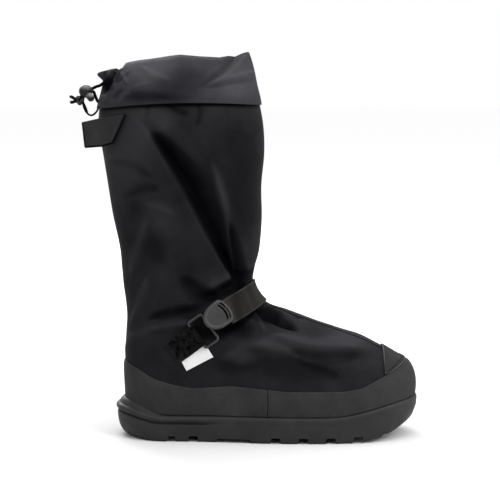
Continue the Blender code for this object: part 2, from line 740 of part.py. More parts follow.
def plate_outline():
    """The plate seen from above: a rounded nose at -x, and an end at +x that bows out between its two corners."""
    points = []
    for step in np.linspace(0, math.pi, 15):
        points.append((PLATE_LENGTH * (0.5 - abs(math.sin(step)) ** PLATE_NOSE), PLATE_WIDTH / 2 * math.cos(step)))
    for across in np.linspace(-1, 1, 7)[1:-1]:
        points.append((PLATE_LENGTH / 2 + PLATE_END_BOW * (1 - across ** 2), PLATE_WIDTH / 2 * across))
    return points


def add_buckle_plate():
    outline = plate_outline()
    count = len(outline)
    points = [(x, y, -PLATE_THICKNESS / 2) for x, y in outline] + [(x, y, PLATE_THICKNESS / 2) for x, y in outline]
    faces = [tuple(range(count - 1, -1, -1)), tuple(range(count, 2 * count))]
    faces += [(step, (step + 1) % count, count + (step + 1) % count, count + step) for step in range(count)]
    made = add_object("buckle_plate", solid_from("buckle_plate", points, faces), MOULDED)
    place = side_matrix(PLATE_CENTRE, PLATE_ANGLE, PLATE_HEIGHT + PLATE_THICKNESS / 2)
    made.matrix_world = place @ Matrix.Rotation(PLATE_TILT, 4, "Y")
    bevel = made.modifiers.new("round", "BEVEL")
    bevel.width = PLATE_EDGE * MM
    bevel.segments = 2
    bevel.limit_method = "ANGLE"
    for index, slot in enumerate(SLOTS):
        cut = made.modifiers.new(f"slot {index}", "BOOLEAN")
        cut.object = slot_cutter(index, slot, made)


def slot_cutter(index, slot, plate):
    """A curved slot across the plate, its middle at a place past the line between the end's corners."""
    inner, outer = [], []
    for across in np.linspace(-slot.reach, slot.reach, 7):
        middle = PLATE_LENGTH / 2 + slot.place - slot.bow * (across / slot.reach) ** 2
        inner.append((middle - SLOT_WIDTH / 2, across))
        outer.append((middle + SLOT_WIDTH / 2, across))
    outline = outer + inner[::-1]
    count = len(outline)
    points = [(x, y, -PLATE_THICKNESS) for x, y in outline] + [(x, y, PLATE_THICKNESS) for x, y in outline]
    faces = [(step, (step + 1) % count, count + (step + 1) % count, count + step) for step in range(count)]
    half = count // 2
    for step in range(half - 1):
        faces.append((step, count - 1 - step, count - 2 - step, step + 1))
        faces.append((count + step, count + step + 1, 2 * count - 2 - step, 2 * count - 1 - step))
    cutter = bpy.data.objects.new(f"slot_cutter_{index}", solid_from("slot_cutter", points, faces))
    CUTTERS.objects.link(cutter)
    hide_cutter(cutter)
    cutter.matrix_world = plate.matrix_world
    return cutter


def add_label():
    """A blank cloth tag, sewn in along the anchor strap's lower edge."""
    grid = []
    for share in (0, 0.5, 1):
        edge = [Vector((place.low_x, place.low_z)).lerp(Vector((place.high_x, place.high_z)), share)
                for place in LABEL]
        line = [start.lerp(end, step / LABEL_COLUMNS)
                for start, end in zip(edge, edge[1:]) for step in range(LABEL_COLUMNS)]
        grid.append([TAUT.grown(*TAUT.locate(*place), OVERLAY_GAP) for place in (*line, edge[-1])])
    add_shell("label", grid, LABEL_WALL, LABEL_CLOTH)


def add_pull_tab():
    """A stiff flat tab, sewn on a slanted line and standing off the back of the shaft on a tangent."""
    turn, level = TAUT.locate(*TAB_ROOT)
    root = TAUT.grown(turn, level, TAB_STANDOFF)
    run = TAUT.point(turn - TURN_STEP, level) - TAUT.point(turn + TURN_STEP, level)
    run.z = 0
    run.normalize()
    out = Vector((run.y, -run.x, 0))
    out = out if out.dot(TAUT.normal(turn, level)) > 0 else -out
    points = []
    for height in (0, TAB_WALL):
        points += [root + run * along + Vector((0, 0, up)) + out * height for along, up in TAB_OUTLINE]
    count = len(TAB_OUTLINE)
    faces = [tuple(range(count)), tuple(range(2 * count - 1, count - 1, -1))]
    faces += [(count + step, count + (step + 1) % count, (step + 1) % count, step) for step in range(count)]
    made = add_object("pull_tab", solid_from("pull_tab", points, faces), TAPE)
    bevel = made.modifiers.new("edge", "BEVEL")
    bevel.width = TAB_EDGE * MM
    bevel.segments = 1


def smooth_route(points, spacing):
    """Points at about this spacing on a smooth curve through the given ones."""
    knots = [Vector(point) for point in points]
    knots = [2 * knots[0] - knots[1], *knots, 2 * knots[-1] - knots[-2]]
    route = []
    for before, start, end, after in zip(knots, knots[1:], knots[2:], knots[3:]):
        steps = max(1, round((end - start).length / spacing))
        slope_in, slope_out = (end - before) / 2, (after - start) / 2
        for step in range(steps):
            share = step / steps
            bend = 3 * (end - start) - 2 * slope_in - slope_out
            curl = 2 * (start - end) + slope_in + slope_out
            route.append(start + slope_in * share + bend * share ** 2 + curl * share ** 3)
    return route + [knots[-2]]


def add_ball(name, centre, radius, material, stretch):
    mesh = bpy.data.meshes.new(name)
    shape = bmesh.new()
    bmesh.ops.create_uvsphere(shape, u_segments=12, v_segments=8, radius=radius * MM)
    bmesh.ops.scale(shape, vec=stretch, verts=shape.verts)
    shape.to_mesh(mesh)
    shape.free()
    mesh.shade_smooth()
    made = add_object(name, mesh, material)
    made.location = Vector(centre) * MM
    return made


def add_turned(name, profile, place, material, steps=16):
    """A solid turned about z: the profile of radius and height runs from the top of its axis to the bottom."""
    mesh = bpy.data.meshes.new(name)
    mesh.from_pydata([(radius * MM, 0, height * MM) for radius, height in profile], [],
                     [(step, step + 1) for step in range(len(profile) - 1)])
    made = add_object(name, mesh, material)
    made.matrix_world = place
    screw = made.modifiers.new("turn", "SCREW")
    screw.steps = screw.render_steps = steps
    screw.use_merge_vertices = True
    screw.merge_threshold = 0.00002
    screw.use_smooth_shade = True
    screw.use_normal_flip = True
    return made


def lock_matrix():
    """The cord lock's frame: z is the way the button stands out."""
    place = BUTTON_AXIS.to_track_quat("Z", "Y").to_matrix().to_4x4()
    place.translation = LOCK_CENTRE * MM
    return place


def add_cord_lock():
    bore = BUTTON_RADIUS + BORE_GAP
    mouth = math.asin(bore / LOCK_RADIUS)
    bore_floor = LOCK_RADIUS - BUTTON_STEM - BUTTON_TRAVEL - BORE_END_GAP
    body = [(0, bore_floor), (bore, bore_floor), (bore, LOCK_RADIUS * math.cos(mouth))]
    body += [(LOCK_RADIUS * math.sin(turn), LOCK_RADIUS * math.cos(turn))
             for turn in np.linspace(mouth, math.pi, 10)[1:]]
    body[-1] = (0, -LOCK_RADIUS)
    add_turned("cord_lock_body", body, lock_matrix(), MOULDED)
    top = LOCK_RADIUS + BUTTON_HEAD - BUTTON_RADIUS
    button = [(BUTTON_RADIUS * math.sin(turn), top + BUTTON_RADIUS * math.cos(turn))
              for turn in np.linspace(0, math.pi / 2, 6)]
    button[0] = (0, top + BUTTON_RADIUS)
    foot = LOCK_RADIUS - BUTTON_STEM
    button += [(BUTTON_RADIUS, foot), (0, foot)]
    add_turned("cord_lock_button", button, lock_matrix(), MOULDED)


def off_lock(direction, reach):
    """A point straight out from the lock's middle, at a reach from its side."""
    return LOCK_CENTRE + Vector(direction).normalized() * (LOCK_RADIUS + reach)


# Routes of the drawcord's ends and of the tether, from the collar to the lock and from the knot outwards.
UPPER_WAY, LOWER_WAY = (0.86, 0.36, 0.34), (0.82, 0.56, -0.08)
UPPER_CORD = [(-175.2, -5, 368.4), (-177.4, -7, 367), off_lock(UPPER_WAY, 2), off_lock(UPPER_WAY, 0.4)]
LOWER_CORD = [(-178.6, -3, 354), (-178.8, -5, 357.2), off_lock(LOWER_WAY, 2), off_lock(LOWER_WAY, 0.4)]
UPPER_TAIL = [(-199.4, -12, 353.6), (-201.6, -12, 355), (-204, -12, 356)]
LOWER_TAIL = [(-199.6, -12, 350.8), (-201.8, -12, 350.0), (-203.8, -12, 350.2)]
TETHER = [(-190.6, -12, 349.4), (-188.6, -12.6, 343.6), (-186.4, -13, 338.8), (-183.6, -13, 336.8),
          (-180.4, -12.5, 337.2), (-176.8, -11.6, 340.8)]


def add_drawcord():
    for name, route in (("drawcord_upper", UPPER_CORD), ("drawcord_lower", LOWER_CORD),
                        ("drawcord_tail_upper", UPPER_TAIL), ("drawcord_tail_lower", LOWER_TAIL)):
        add_tube(name, smooth_route(route, 2.5), CORD_RADIUS, CORD)
    add_tube("tether", smooth_route(TETHER, 2), TETHER_RADIUS, CORD)
    add_ball("drawcord_knot", KNOT_CENTRE, KNOT_RADIUS, CORD, KNOT_STRETCH)


clear_scene()
PARTS = new_collection("overshoe")
CUTTERS = new_collection("cutters")
ROOT = bpy.data.objects.new("overshoe_frame", None)
PARTS.objects.link(ROOT)

RUBBER = new_material("sole rubber", (0.035, 0.035, 0.037), 0.55)
NYLON = new_material("black nylon", (0.012, 0.012, 0.014), 0.5)
COLLAR_NYLON = new_material("grey-black nylon", (0.040, 0.041, 0.047), 0.55)
COATED = new_material("coated rand", (0.036, 0.036, 0.038), 0.75)
CAP_CLOTH = new_material("toe cap cloth", (0.050, 0.050, 0.053), 0.8)
WEBBING = new_material("webbing", (0.032, 0.031, 0.029), 0.8)
TAPE = new_material("hook-and-loop tape", (0.016, 0.016, 0.017), 0.95)
MOULDED = new_material("moulded plastic", (0.060, 0.060, 0.062), 0.4)
LABEL_CLOTH = new_material("label cloth", (0.85, 0.85, 0.85), 0.7)
BOARD = new_material("insole board", (0.020, 0.020, 0.021), 0.9)
CORD = new_material("drawcord", (0.012, 0.012, 0.013), 0.8)

add_outsole()
add_insole()
add_upper()
add_collar()
add_rands()
add_toe_cap()
add_instep_strap()
add_anchor_strap()
add_buckle_ring()
add_buckle_plate()
add_label()
add_pull_tab()
add_cord_lock()
add_drawcord()
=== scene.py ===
"""Looks of the tall overshoe: cloth, rubber and cords with folds, seams and stitches, over the CAD solids.

Tables and sizes are in millimetres in the boot's own frame, with the toe along +X, the outer side along -Y
and +Z up. Meshes are in metres."""

import math
from collections import namedtuple

import bmesh
import bpy
import numpy as np
from mathutils import Matrix, Vector


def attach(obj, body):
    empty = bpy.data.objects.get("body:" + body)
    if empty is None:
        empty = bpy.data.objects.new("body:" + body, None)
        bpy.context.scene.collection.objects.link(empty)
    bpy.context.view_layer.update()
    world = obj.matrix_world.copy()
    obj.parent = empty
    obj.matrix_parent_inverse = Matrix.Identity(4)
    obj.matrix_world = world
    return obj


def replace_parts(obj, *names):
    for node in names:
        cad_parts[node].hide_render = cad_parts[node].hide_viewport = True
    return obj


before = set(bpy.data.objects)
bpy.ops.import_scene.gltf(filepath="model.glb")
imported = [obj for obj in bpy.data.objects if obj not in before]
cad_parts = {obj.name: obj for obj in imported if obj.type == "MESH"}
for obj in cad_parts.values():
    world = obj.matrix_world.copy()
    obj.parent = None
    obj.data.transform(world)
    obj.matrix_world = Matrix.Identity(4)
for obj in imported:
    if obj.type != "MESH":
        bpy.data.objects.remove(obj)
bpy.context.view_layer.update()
MM = 0.001
BODY = "overshoe"
OUTER, INNER = -1, 1

# Camera, at the photo's place
CAMERA_PLACE = (-0.0184, -1.764, 0.395)
CAMERA_PITCH = math.radians(6.466)
CAMERA_LENS, CAMERA_SENSOR = 121.7, 36

# Sizes of the sole and the walls, as in the CAD
SOLE_BACK, SOLE_FRONT = -159, 159
TOE_SPRING, SPRING_START = 15, 70
FLOOR_THICKNESS = 14
RIM_HEIGHT, RIM_HEEL_RISE, RIM_TOE_RISE = 27, 8, 15
RIM_TOE_FROM, RIM_TOE_RUN = 60, 100
RIM_HEEL_FROM, RIM_HEEL_RUN = -108, 50
TOE_SWING, TOE_SWING_FROM, TOE_SWING_RUN = 8, 10, 150
ARCH_SHIFT, ARCH_X, ARCH_REACH = 3, -25, 75
BALL_FROM, BALL_RUN = 0.25, 0.45
END_ROUNDNESS = 2.2
BEAD_FADE_FROM, BEAD_FADE_RUN = -78, 36
HEEL_CURVE_FROM, HEEL_CURVE_RUN = -108, 46
TOE_CURVE_FROM, TOE_CURVE_RUN = 100, 56
UPPER_WALL, COLLAR_WALL = 1.3, 1.0
GAP, OVERLAY_GAP = 0.5, 0.7
TURN_STEP, LEVEL_STEP, HALVINGS = 0.002, 0.03, 40
BESIDE_FRONT, FRONT = 0.3, 0.5

# Each row is one section of a skin, seen from the side as a line from its back point to its front point.
Section = namedtuple(
    "Section", "back_x back_z front_x front_z heel_half ball_half heel_round toe_round spring bow")
SOLE_PLAN = Section(SOLE_BACK, 0, SOLE_FRONT, 0, 46, 60, 54, 76, 0, 0)
UPPER_SECTIONS = np.array([
    (-147.5, 14.5, 150, 14.5, 39.0, 53.5, 46, 70, 1.0, 0),
    (-148.6, 38, 155.5, 33, 41.5, 56.0, 48, 72, 0.7, 0),
    (-149.8, 62, 155.5, 57, 42.0, 55.0, 48, 74, 0.3, 0),
    (-150.2, 80, 149.0, 74.5, 41.5, 53.0, 48, 84, 0.1, 0),
    (-150.5, 91, 136, 83.5, 41.0, 50.0, 49, 100, 0, 0),
    (-149.5, 100, 117, 94.5, 40.5, 47.0, 50, 115, 0, 0),
    (-149, 108, 98, 104, 40.0, 45.0, 50, 122, 0, 0),
    (-148.5, 115, 74, 112, 39.5, 43.0, 52, 124, 0, 0),
    (-148, 122, 48, 121, 39.5, 42.0, 54, 120, 0, 0),
    (-148, 129, 25, 130, 39.5, 41.0, 56, 108, 0, 0),
    (-148.5, 136, 4, 138, 40.0, 40.5, 58, 92, 0, 0),
    (-149.5, 145, -7, 146, 40.5, 40.5, 62, 80, 0, 0),
    (-151.5, 160, -15, 161, 41.5, 41.5, 67, 70, 0, 0),
    (-153, 178, -13.5, 177, 43.5, 43.5, 69, 69, 0, 0),
    (-155, 199, -8.5, 197, 46.0, 46.0, 73, 73, 0, 0),
    (-161.5, 231, -6, 229, 49.5, 49.5, 77, 77, 0, 0),
    (-166.5, 263, -6.5, 263, 52.5, 52.5, 80, 80, 0, 0),
    (-171.5, 296, -3.5, 297, 55.0, 55.0, 84, 84, 0, 0),
    (-176, 325, -4.5, 326, 56.5, 56.5, 86, 86, 0, 3),
    (-174.5, 350, -9.5, 354, 56.0, 56.0, 84, 84, 0, 5),
])
COLLAR_SECTIONS = np.array([
    (-177.8, 344, -6.2, 348, 58.8, 58.8, 86, 86, 0, 5),
    (-176.2, 351, -7.4, 355, 58.6, 58.6, 85, 85, 0, 5),
    (-173.2, 362, -10.4, 367, 54.5, 54.5, 82, 82, 0, 4),
    (-170.6, 374, -13.4, 382, 46.5, 46.5, 79, 79, 0, 3),
    (-166, 383, -16.2, 393, 35.5, 35.5, 75, 75, 0, 2),
    (-159, 389, -19, 401.5, 23.0, 23.0, 70, 70, 0, 0),
])
INSTEP_ROW = 9

# The collar's gathered back, and how far its limp hem rises, by its place along the boot
TUFT_OUT, TUFT_LEVEL, TUFT_LEVELS, TUFT_TURN = 10, 3.9, 1.1, 0.045
HEM = np.array([
    (-159, -4.5), (-144, -2.5), (-114, -1.2), (-90, -0.8), (-70, -4), (-50, -6.4), (-30, -4.6), (-19, -1),
])
HEM_LEAN = 0.2

# Height of the rand's upper edge, by its place along the boot
RAND_TOP = np.array([
    (-154, 80), (-146, 79), (-136, 75), (-117, 65), (-96, 59), (-78, 56), (-37, 59), (-13, 57), (20, 54),
    (79, 54), (97, 57), (112, 64), (122, 68), (138, 75), (147, 79), (158, 80),
])
RAND_SEAM_X, RAND_SEAM_GAP, RAND_LEVEL = 0, 0.6, 1.5
CAP_REAR_X, CAP_CORNER_Z, CAP_CORNER_SHARE, CAP_RAND_GAP = 120.5, 69, 0.985, 0.3

# A crease of the cloth, seen from the side: its height, negative in a trough, how far it reaches to the left
# and right of its route, how sharp its middle is, the points that it passes, and the share of its reach that
# it has at its start and end
Crease = namedtuple("Crease", "side height left right sharp route start end", defaults=(0.5, 0.5))


def both_sides(outer, inner):
    return [Crease(OUTER, *row) for row in outer] + [Crease(INNER, *row) for row in inner]


UPPER_CREASES = both_sides(
    outer=[
        (-13, 27, 9, 0.2,
         [(-136, 338), (-120, 321), (-88, 276), (-72, 248), (-57, 217), (-43, 190), (-21, 150)], 0.35, 0.5),
        (-3.5, 9, 6, 0.2,
         [(-124, 325), (-92, 280), (-75, 251), (-59, 219), (-45, 191), (-30, 164)], 0.4, 0.8),
        (-8.0, 9, 6, 0.3, [(-52, 206), (-40, 184), (-28, 163), (-19, 146)], 0.6, 0.9),
        (5.0, 14, 9, 0.9, [(-60, 300), (-53, 272), (-46, 245), (-40, 213), (-32, 180), (-22, 154)]),
        (-7.0, 9, 6, 0.4, [(-40, 232), (-36, 212), (-31, 190), (-22, 152)], 0.5, 0.7),
        (2.8, 8, 10, 0.8, [(-124, 238), (-129, 217), (-137, 189), (-142, 166)]),
        (3.2, 8, 8, 0.8, [(-123, 175), (-127, 162), (-134, 139), (-143, 118)]),
        (-2.4, 18, 18, 0.1, [(-144, 258), (-134, 240), (-126, 223), (-115, 196), (-108, 176)], 0.6, 0.6),
        (-5.0, 10, 6, 0.4, [(-128, 123), (-118, 129), (-102, 132), (-86, 136), (-62, 140)], 0.5, 0.7),
        (2.6, 8, 8, 0.4, [(-124, 116), (-100, 121), (-78, 124)]),
        (-5.5, 12, 17, 0.1, [(-92, 174), (-76, 160), (-62, 151), (-44, 142)], 0.5, 0.7),
        (-9.0, 13, 9, 0.2, [(-70, 146), (-46, 155), (-28, 163), (-6, 174)], 0.5, 0.9),
        (-5.0, 15, 17, 0.1, [(-86, 104), (-60, 124), (-32, 142)], 0.6, 0.6),
        (2.4, 9, 9, 0.2, [(-66, 162), (-48, 168), (-34, 175)]),
        (-6.5, 9, 10, 0.2, [(-54, 111), (-32, 126), (-10, 138)]),
        (2.0, 7, 9, 0.7, [(-148, 103), (-142, 107), (-130, 112), (-112, 122)]),
        (-2.4, 8, 12, 0.4, [(-165, 291), (-142, 289), (-129, 281), (-114, 274)]),
        (-2.8, 9, 9, 0.3, [(-150, 253), (-129, 262), (-108, 263)]),
        (2.0, 8, 8, 0.5, [(-130, 248), (-112, 244), (-92, 235)]),
        (-2.0, 5, 6, 0.4, [(-120, 352), (-123, 344), (-126, 334)]),
        (-2.4, 6, 7, 0.3, [(-106, 354), (-92, 343), (-78, 338)]),
        (-2.0, 5, 6, 0.4, [(-73, 353), (-69, 340), (-74, 324)]),
        (-8.5, 9, 6, 0.3, [(-22, 147), (-6, 132), (5, 127), (16, 121.5), (34, 113)], 0.8, 0.4),
        (-3.6, 5, 4, 0.4, [(-6, 150), (16, 136), (40, 121)], 0.8, 0.4),
        (3.4, 5, 5, 0.7, [(-15.5, 139), (-10, 127), (-3, 113)]),
        (3.8, 11, 9, 0.7, [(-6, 116), (24, 105), (52, 99), (85, 96), (112, 91)]),
        (-4.0, 7, 11, 0.2, [(14, 101), (45, 93), (63, 91), (104, 90)]),
        (1.6, 6, 7, 0.5, [(28, 84), (57, 87), (88, 89)]),
        (-2.0, 8, 10, 0.2, [(26, 88), (52, 76), (78, 66)]),
        (-3.0, 22, 22, 0.0, [(-70, 82), (0, 80), (80, 78)], 0.7, 0.7),
        (2.2, 10, 10, 0.3, [(-54, 82), (-20, 101), (10, 99)]),
        (-5.0, 6, 6, 0.2, [(-186, 342), (-150, 348), (-92, 351), (-40, 351), (4, 347)], 1, 1),
    ],
    inner=[
        (-9, 22, 10, 0.1, [(-116, 330), (-84, 276), (-60, 236), (-42, 198), (-20, 148)], 0.6, 0.4),
        (3.0, 12, 9, 0.7, [(-62, 296), (-50, 252), (-38, 208), (-24, 158)]),
        (-3.0, 10, 10, 0.3, [(-154, 272), (-124, 262), (-98, 238)]),
        (2.2, 9, 9, 0.6, [(-126, 240), (-132, 210), (-140, 176)]),
        (-3.6, 12, 14, 0.2, [(-104, 190), (-80, 168), (-52, 150)], 0.5, 0.6),
        (-4.0, 9, 7, 0.4, [(-130, 123), (-104, 131), (-60, 139)], 0.5, 0.6),
        (2.2, 8, 8, 0.5, [(-146, 106), (-128, 113), (-108, 124)]),
        (-3.6, 7, 6, 0.4, [(-12, 148), (6, 133), (32, 114)]),
        (3.0, 10, 8, 0.6, [(-6, 115), (30, 104), (64, 98), (104, 92)]),
        (-3.0, 7, 9, 0.2, [(14, 100), (50, 92), (96, 90)]),
        (-3.0, 22, 22, 0.0, [(-66, 84), (0, 81), (78, 80)], 0.7, 0.7),
        (2.0, 9, 9, 0.3, [(-50, 84), (-18, 100), (12, 98)]),
        (-2.0, 6, 6, 0.4, [(-112, 352), (-104, 341), (-88, 334)]),
        (-5.0, 6, 6, 0.2, [(-186, 342), (-150, 348), (-92, 351), (-40, 351), (4, 347)], 1, 1),
    ],
)
COLLAR_CREASES = both_sides(
    outer=[
        (-8.0, 6, 5, 0.4, [(-146, 400), (-155, 385), (-161, 376), (-165, 368), (-171, 356)], 0.8, 0.6),
        (2.4, 3, 3, 0.7, [(-169, 350), (-165, 356), (-159, 362)], 0.7, 0.5),
        (2.2, 3, 3, 0.7, [(-160, 371), (-155, 378), (-148, 386)], 0.7, 0.5),
        (-2.2, 3, 3, 0.5, [(-158, 369), (-150, 374), (-140, 382)], 0.7, 0.5),
        (1.8, 3, 3, 0.7, [(-152, 382), (-147, 376), (-142, 368)], 0.7, 0.5),
        (2.4, 4, 4, 0.7, [(-154, 349), (-147, 355), (-139, 361)], 0.7, 0.5),
        (-2.0, 4, 4, 0.5, [(-160, 352), (-154, 359), (-146, 364)], 0.7, 0.5),
        (1.2, 6, 6, 0.6, [(-155, 352), (-146, 360), (-134, 366), (-116, 371)]),
        (-1.3, 7, 8, 0.3, [(-148, 352), (-135, 357), (-118, 357), (-98, 354)]),
        (-2.2, 5, 6, 0.5, [(-26, 408), (-43, 387), (-56, 375), (-74, 364)], 0.9, 0.5),
        (2.0, 5, 5, 0.7, [(-16, 406), (-34, 385), (-48, 374), (-68, 362)], 0.9, 0.5),
        (1.5, 5, 5, 0.6, [(-4, 384), (-38, 376), (-70, 369)], 0.7, 0.5),
        (-1.8, 4, 5, 0.5, [(-4, 374), (-38, 370), (-72, 364)], 0.7, 0.5),
        (1.4, 7, 7, 0.5, [(-132, 388), (-116, 378), (-96, 372)]),
    ],
    inner=[
        (-3.0, 5, 6, 0.6, [(-150, 388), (-160, 374), (-168, 360)]),
        (2.2, 6, 6, 0.7, [(-164, 366), (-150, 374), (-132, 380)]),
        (-2.4, 7, 7, 0.4, [(-146, 354), (-124, 360), (-98, 358)]),
        (-2.6, 6, 7, 0.5, [(-40, 390), (-52, 376), (-66, 366)]),
        (2.2, 6, 6, 0.6, [(-20, 386), (-40, 374), (-58, 366)]),
        (-1.8, 8, 8, 0.3, [(-108, 388), (-94, 376), (-82, 362)]),
    ],
)
CREASE_PARTS, CREASE_END, CREASE_SPREAD, CREASE_FADE = 8, 0.22, 0.45, 0.4
# Painted shade by fold height: its level on flat cloth, the fold height over which it goes from black to
# pale, and the deepest that creases sink
FLAT_PAINTED_SHADE, PAINTED_SHADE_HEIGHT, DEEPEST = 0.55, 18, 14

# Long low ripples of loose cloth: wave length, direction, phase and height
RIPPLES = [(46, 0.5, 0.3, 0.22), (61, 1.9, 1.7, 0.26), (33, 2.7, 4.1, 0.14), (83, 1.1, 2.2, 0.2)]

# Patches of painted light and painted shade on the outer side, where the cloth is painted paler or darker: x
# and z of their middle, their reach along both, and their gain of tone and painted light. They fade out where
# the two sides meet.
PATCH_FADE = 0.3
UPPER_PAINTED_PATCHES = [
    (-146, 305, 48, 72, 0.3), (-130, 332, 50, 22, 0.55), (-118, 226, 34, 26, 0.2), (-27, 266, 26, 92, -0.25),
    (-54, 280, 20, 34, -0.13), (12, 104, 34, 11, 0.35), (-29, 89, 24, 11, 0.3), (88, 104, 44, 9, 0.25),
    (-30, 158, 26, 16, -0.25), (0, 131, 20, 11, -0.9), (-29, 119, 20, 12, -0.5), (-54, 113, 20, 9, -0.35),
    (40, 100, 90, 18, 0.18), (-68, 150, 17, 11, -0.3), (-84, 135, 17, 9, -0.25),
]
COLLAR_PAINTED_PATCHES = [
    (-92, 369, 38, 26, -0.22), (-122, 382, 46, 22, 0.3), (-28, 374, 30, 30, 0.18), (-156, 383, 9, 14, -0.7),
    (-165, 369, 10, 14, -0.7), (-168, 382, 4, 6, -0.5), (-175, 384, 5, 4, 0.4), (-118, 356, 44, 9, -0.3),
]


def ease(share):
    """A smooth step from 0 to 1 as share goes from 0 to 1."""
    share = np.clip(share, 0, 1)
    return share * share * (3 - 2 * share)


def bump(distance):
    """A smooth bump, 1 at distance 0 and 0 from distance 1 on."""
    return (1 - np.minimum(distance * distance, 1)) ** 2


def rounding(share):
    """The rise of a rounded end, from 0 at its tip to 1 where the rounding stops."""
    return np.sqrt(1 - (1 - np.clip(share, 0, 1)) ** END_ROUNDNESS)


def unit(vectors):
    """The same directions with length 1."""
    return vectors / np.linalg.norm(vectors, axis=-1, keepdims=True)


def bisect(low, high, holds):
    """The values between low and high up to which a test holds."""
    for _ in range(HALVINGS):
        middle = (low + high) / 2
        held = holds(middle)
        low, high = np.where(held, middle, low), np.where(held, high, middle)
    return low


def side_of(turn):
    return np.where(np.mod(turn, 1) < FRONT, OUTER, INNER)


def along_of(turn):
    """The share of the way from the back to the front at a turn."""
    return (1 - np.cos(2 * np.pi * turn)) / 2


def turn_of(along):
    """The turn on the outer side at a share of the way from the back to the front."""
    return np.arccos(1 - 2 * along) / (2 * np.pi)


def off_middle(turn, reach):
    """0 at the back and the front, where the two sides meet, and 1 beyond a reach from there."""
    return ease(np.abs(np.sin(2 * np.pi * turn)) / reach)


def toe_spring(x):
    return TOE_SPRING * np.maximum(0, (x - SPRING_START) / (SOLE_FRONT - SPRING_START)) ** 2


def rim_height(x):
    toe = RIM_TOE_RISE * ease((x - RIM_TOE_FROM) / RIM_TOE_RUN)
    heel = RIM_HEEL_RISE * ease((RIM_HEEL_FROM - x) / RIM_HEEL_RUN)
    return RIM_HEIGHT + toe + heel


def centre_y(x):
    toe = TOE_SWING * ease((x - TOE_SWING_FROM) / TOE_SWING_RUN)
    return toe - ARCH_SHIFT * bump((x - ARCH_X) / ARCH_REACH)


def rand_top(x):
    return np.interp(x, RAND_TOP[:, 0], RAND_TOP[:, 1])


def half_width(row, along):
    """Half the width of sections, at a share of the way from their back to their front."""
    length = np.hypot(row.front_x - row.back_x, row.front_z - row.back_z)
    broad = row.heel_half + (row.ball_half - row.heel_half) * ease((along - BALL_FROM) / BALL_RUN)
    return broad * rounding(along * length / row.heel_round) * rounding((1 - along) * length / row.toe_round)


def side_line(row, along, x):
    """Height of a section's line, seen from the side."""
    line = row.back_z + (row.front_z - row.back_z) * along
    return line + row.spring * toe_spring(x) + row.bow * 4 * along * (1 - along)


def curve_through(rows, place):
    """Values on a smooth curve through the rows of a table, at places counted in rows."""
    last = len(rows) - 1
    first = np.clip(np.floor(place).astype(int), 0, last - 1)
    share = np.clip(place - first, 0, 1)[..., None]
    start, end = rows[first], rows[first + 1]
    before = np.where((first > 0)[..., None], rows[np.maximum(first - 1, 0)], 2 * start - end)
    after = np.where((first + 2 <= last)[..., None], rows[np.minimum(first + 2, last)], 2 * end - start)
    slope_in, slope_out = (end - before) / 2, (after - start) / 2
    bend = 3 * (end - start) - 2 * slope_in - slope_out
    curl = 2 * (start - end) + slope_in + slope_out
    return start + slope_in * share + bend * share ** 2 + curl * share ** 3


def smooth_route(points, parts):
    """A smooth line through points, with this many parts between neighbours."""
    rows = np.array(points, dtype=float)
    return curve_through(rows, np.linspace(0, len(rows) - 1, (len(rows) - 1) * parts + 1))


def crease_height(crease, x, z):
    """How far one crease lifts the cloth at points seen from the side."""
    route = smooth_route(crease.route, CREASE_PARTS)
    runs = route[1:] - route[:-1]
    lengths = np.hypot(runs[:, 0], runs[:, 1])
    starts = np.concatenate(([0], np.cumsum(lengths)[:-1]))
    total = lengths.sum()
    nearest = np.full(x.shape, np.inf)
    across, along = np.zeros(x.shape), np.zeros(x.shape)
    for start, run, length, travelled in zip(route, runs, lengths, starts):
        away_x, away_z = x - start[0], z - start[1]
        share = np.clip((away_x * run[0] + away_z * run[1]) / length ** 2, 0, 1)
        distance = np.hypot(away_x - run[0] * share, away_z - run[1] * share)
        closer = distance < nearest
        nearest = np.where(closer, distance, nearest)
        side = np.where(run[0] * away_z - run[1] * away_x > 0, 1, -1)
        across = np.where(closer, distance * side, across)
        along = np.where(closer, (travelled + length * share) / total, along)
    spread = crease.start + (1 - crease.start) * ease(along / CREASE_SPREAD)
    spread = spread * (crease.end + (1 - crease.end) * ease((1 - along) / CREASE_SPREAD))
    reach = np.abs(across) / (np.where(across > 0, crease.left, crease.right) * spread)
    inside = np.clip(1 - reach, 0, 1)
    profile = (1 - crease.sharp) * bump(reach) + crease.sharp * inside ** 2
    return crease.height * profile * ease(along / CREASE_END) * ease((1 - along) / CREASE_END)


def relief(creases, side, x, z):
    """How far all creases and ripples lift the cloth, by side."""
    height = np.zeros(x.shape)
    for length, angle, phase, tall in RIPPLES:
        along = x * math.cos(angle) + side * z * math.sin(angle)
        height += tall * np.sin(2 * np.pi * along / length + phase)
    for crease in creases:
        height += np.where(side == crease.side, crease_height(crease, x, z), 0)
    return height / (1 + np.abs(np.minimum(height, 0) / DEEPEST) ** 3) ** (1 / 3)


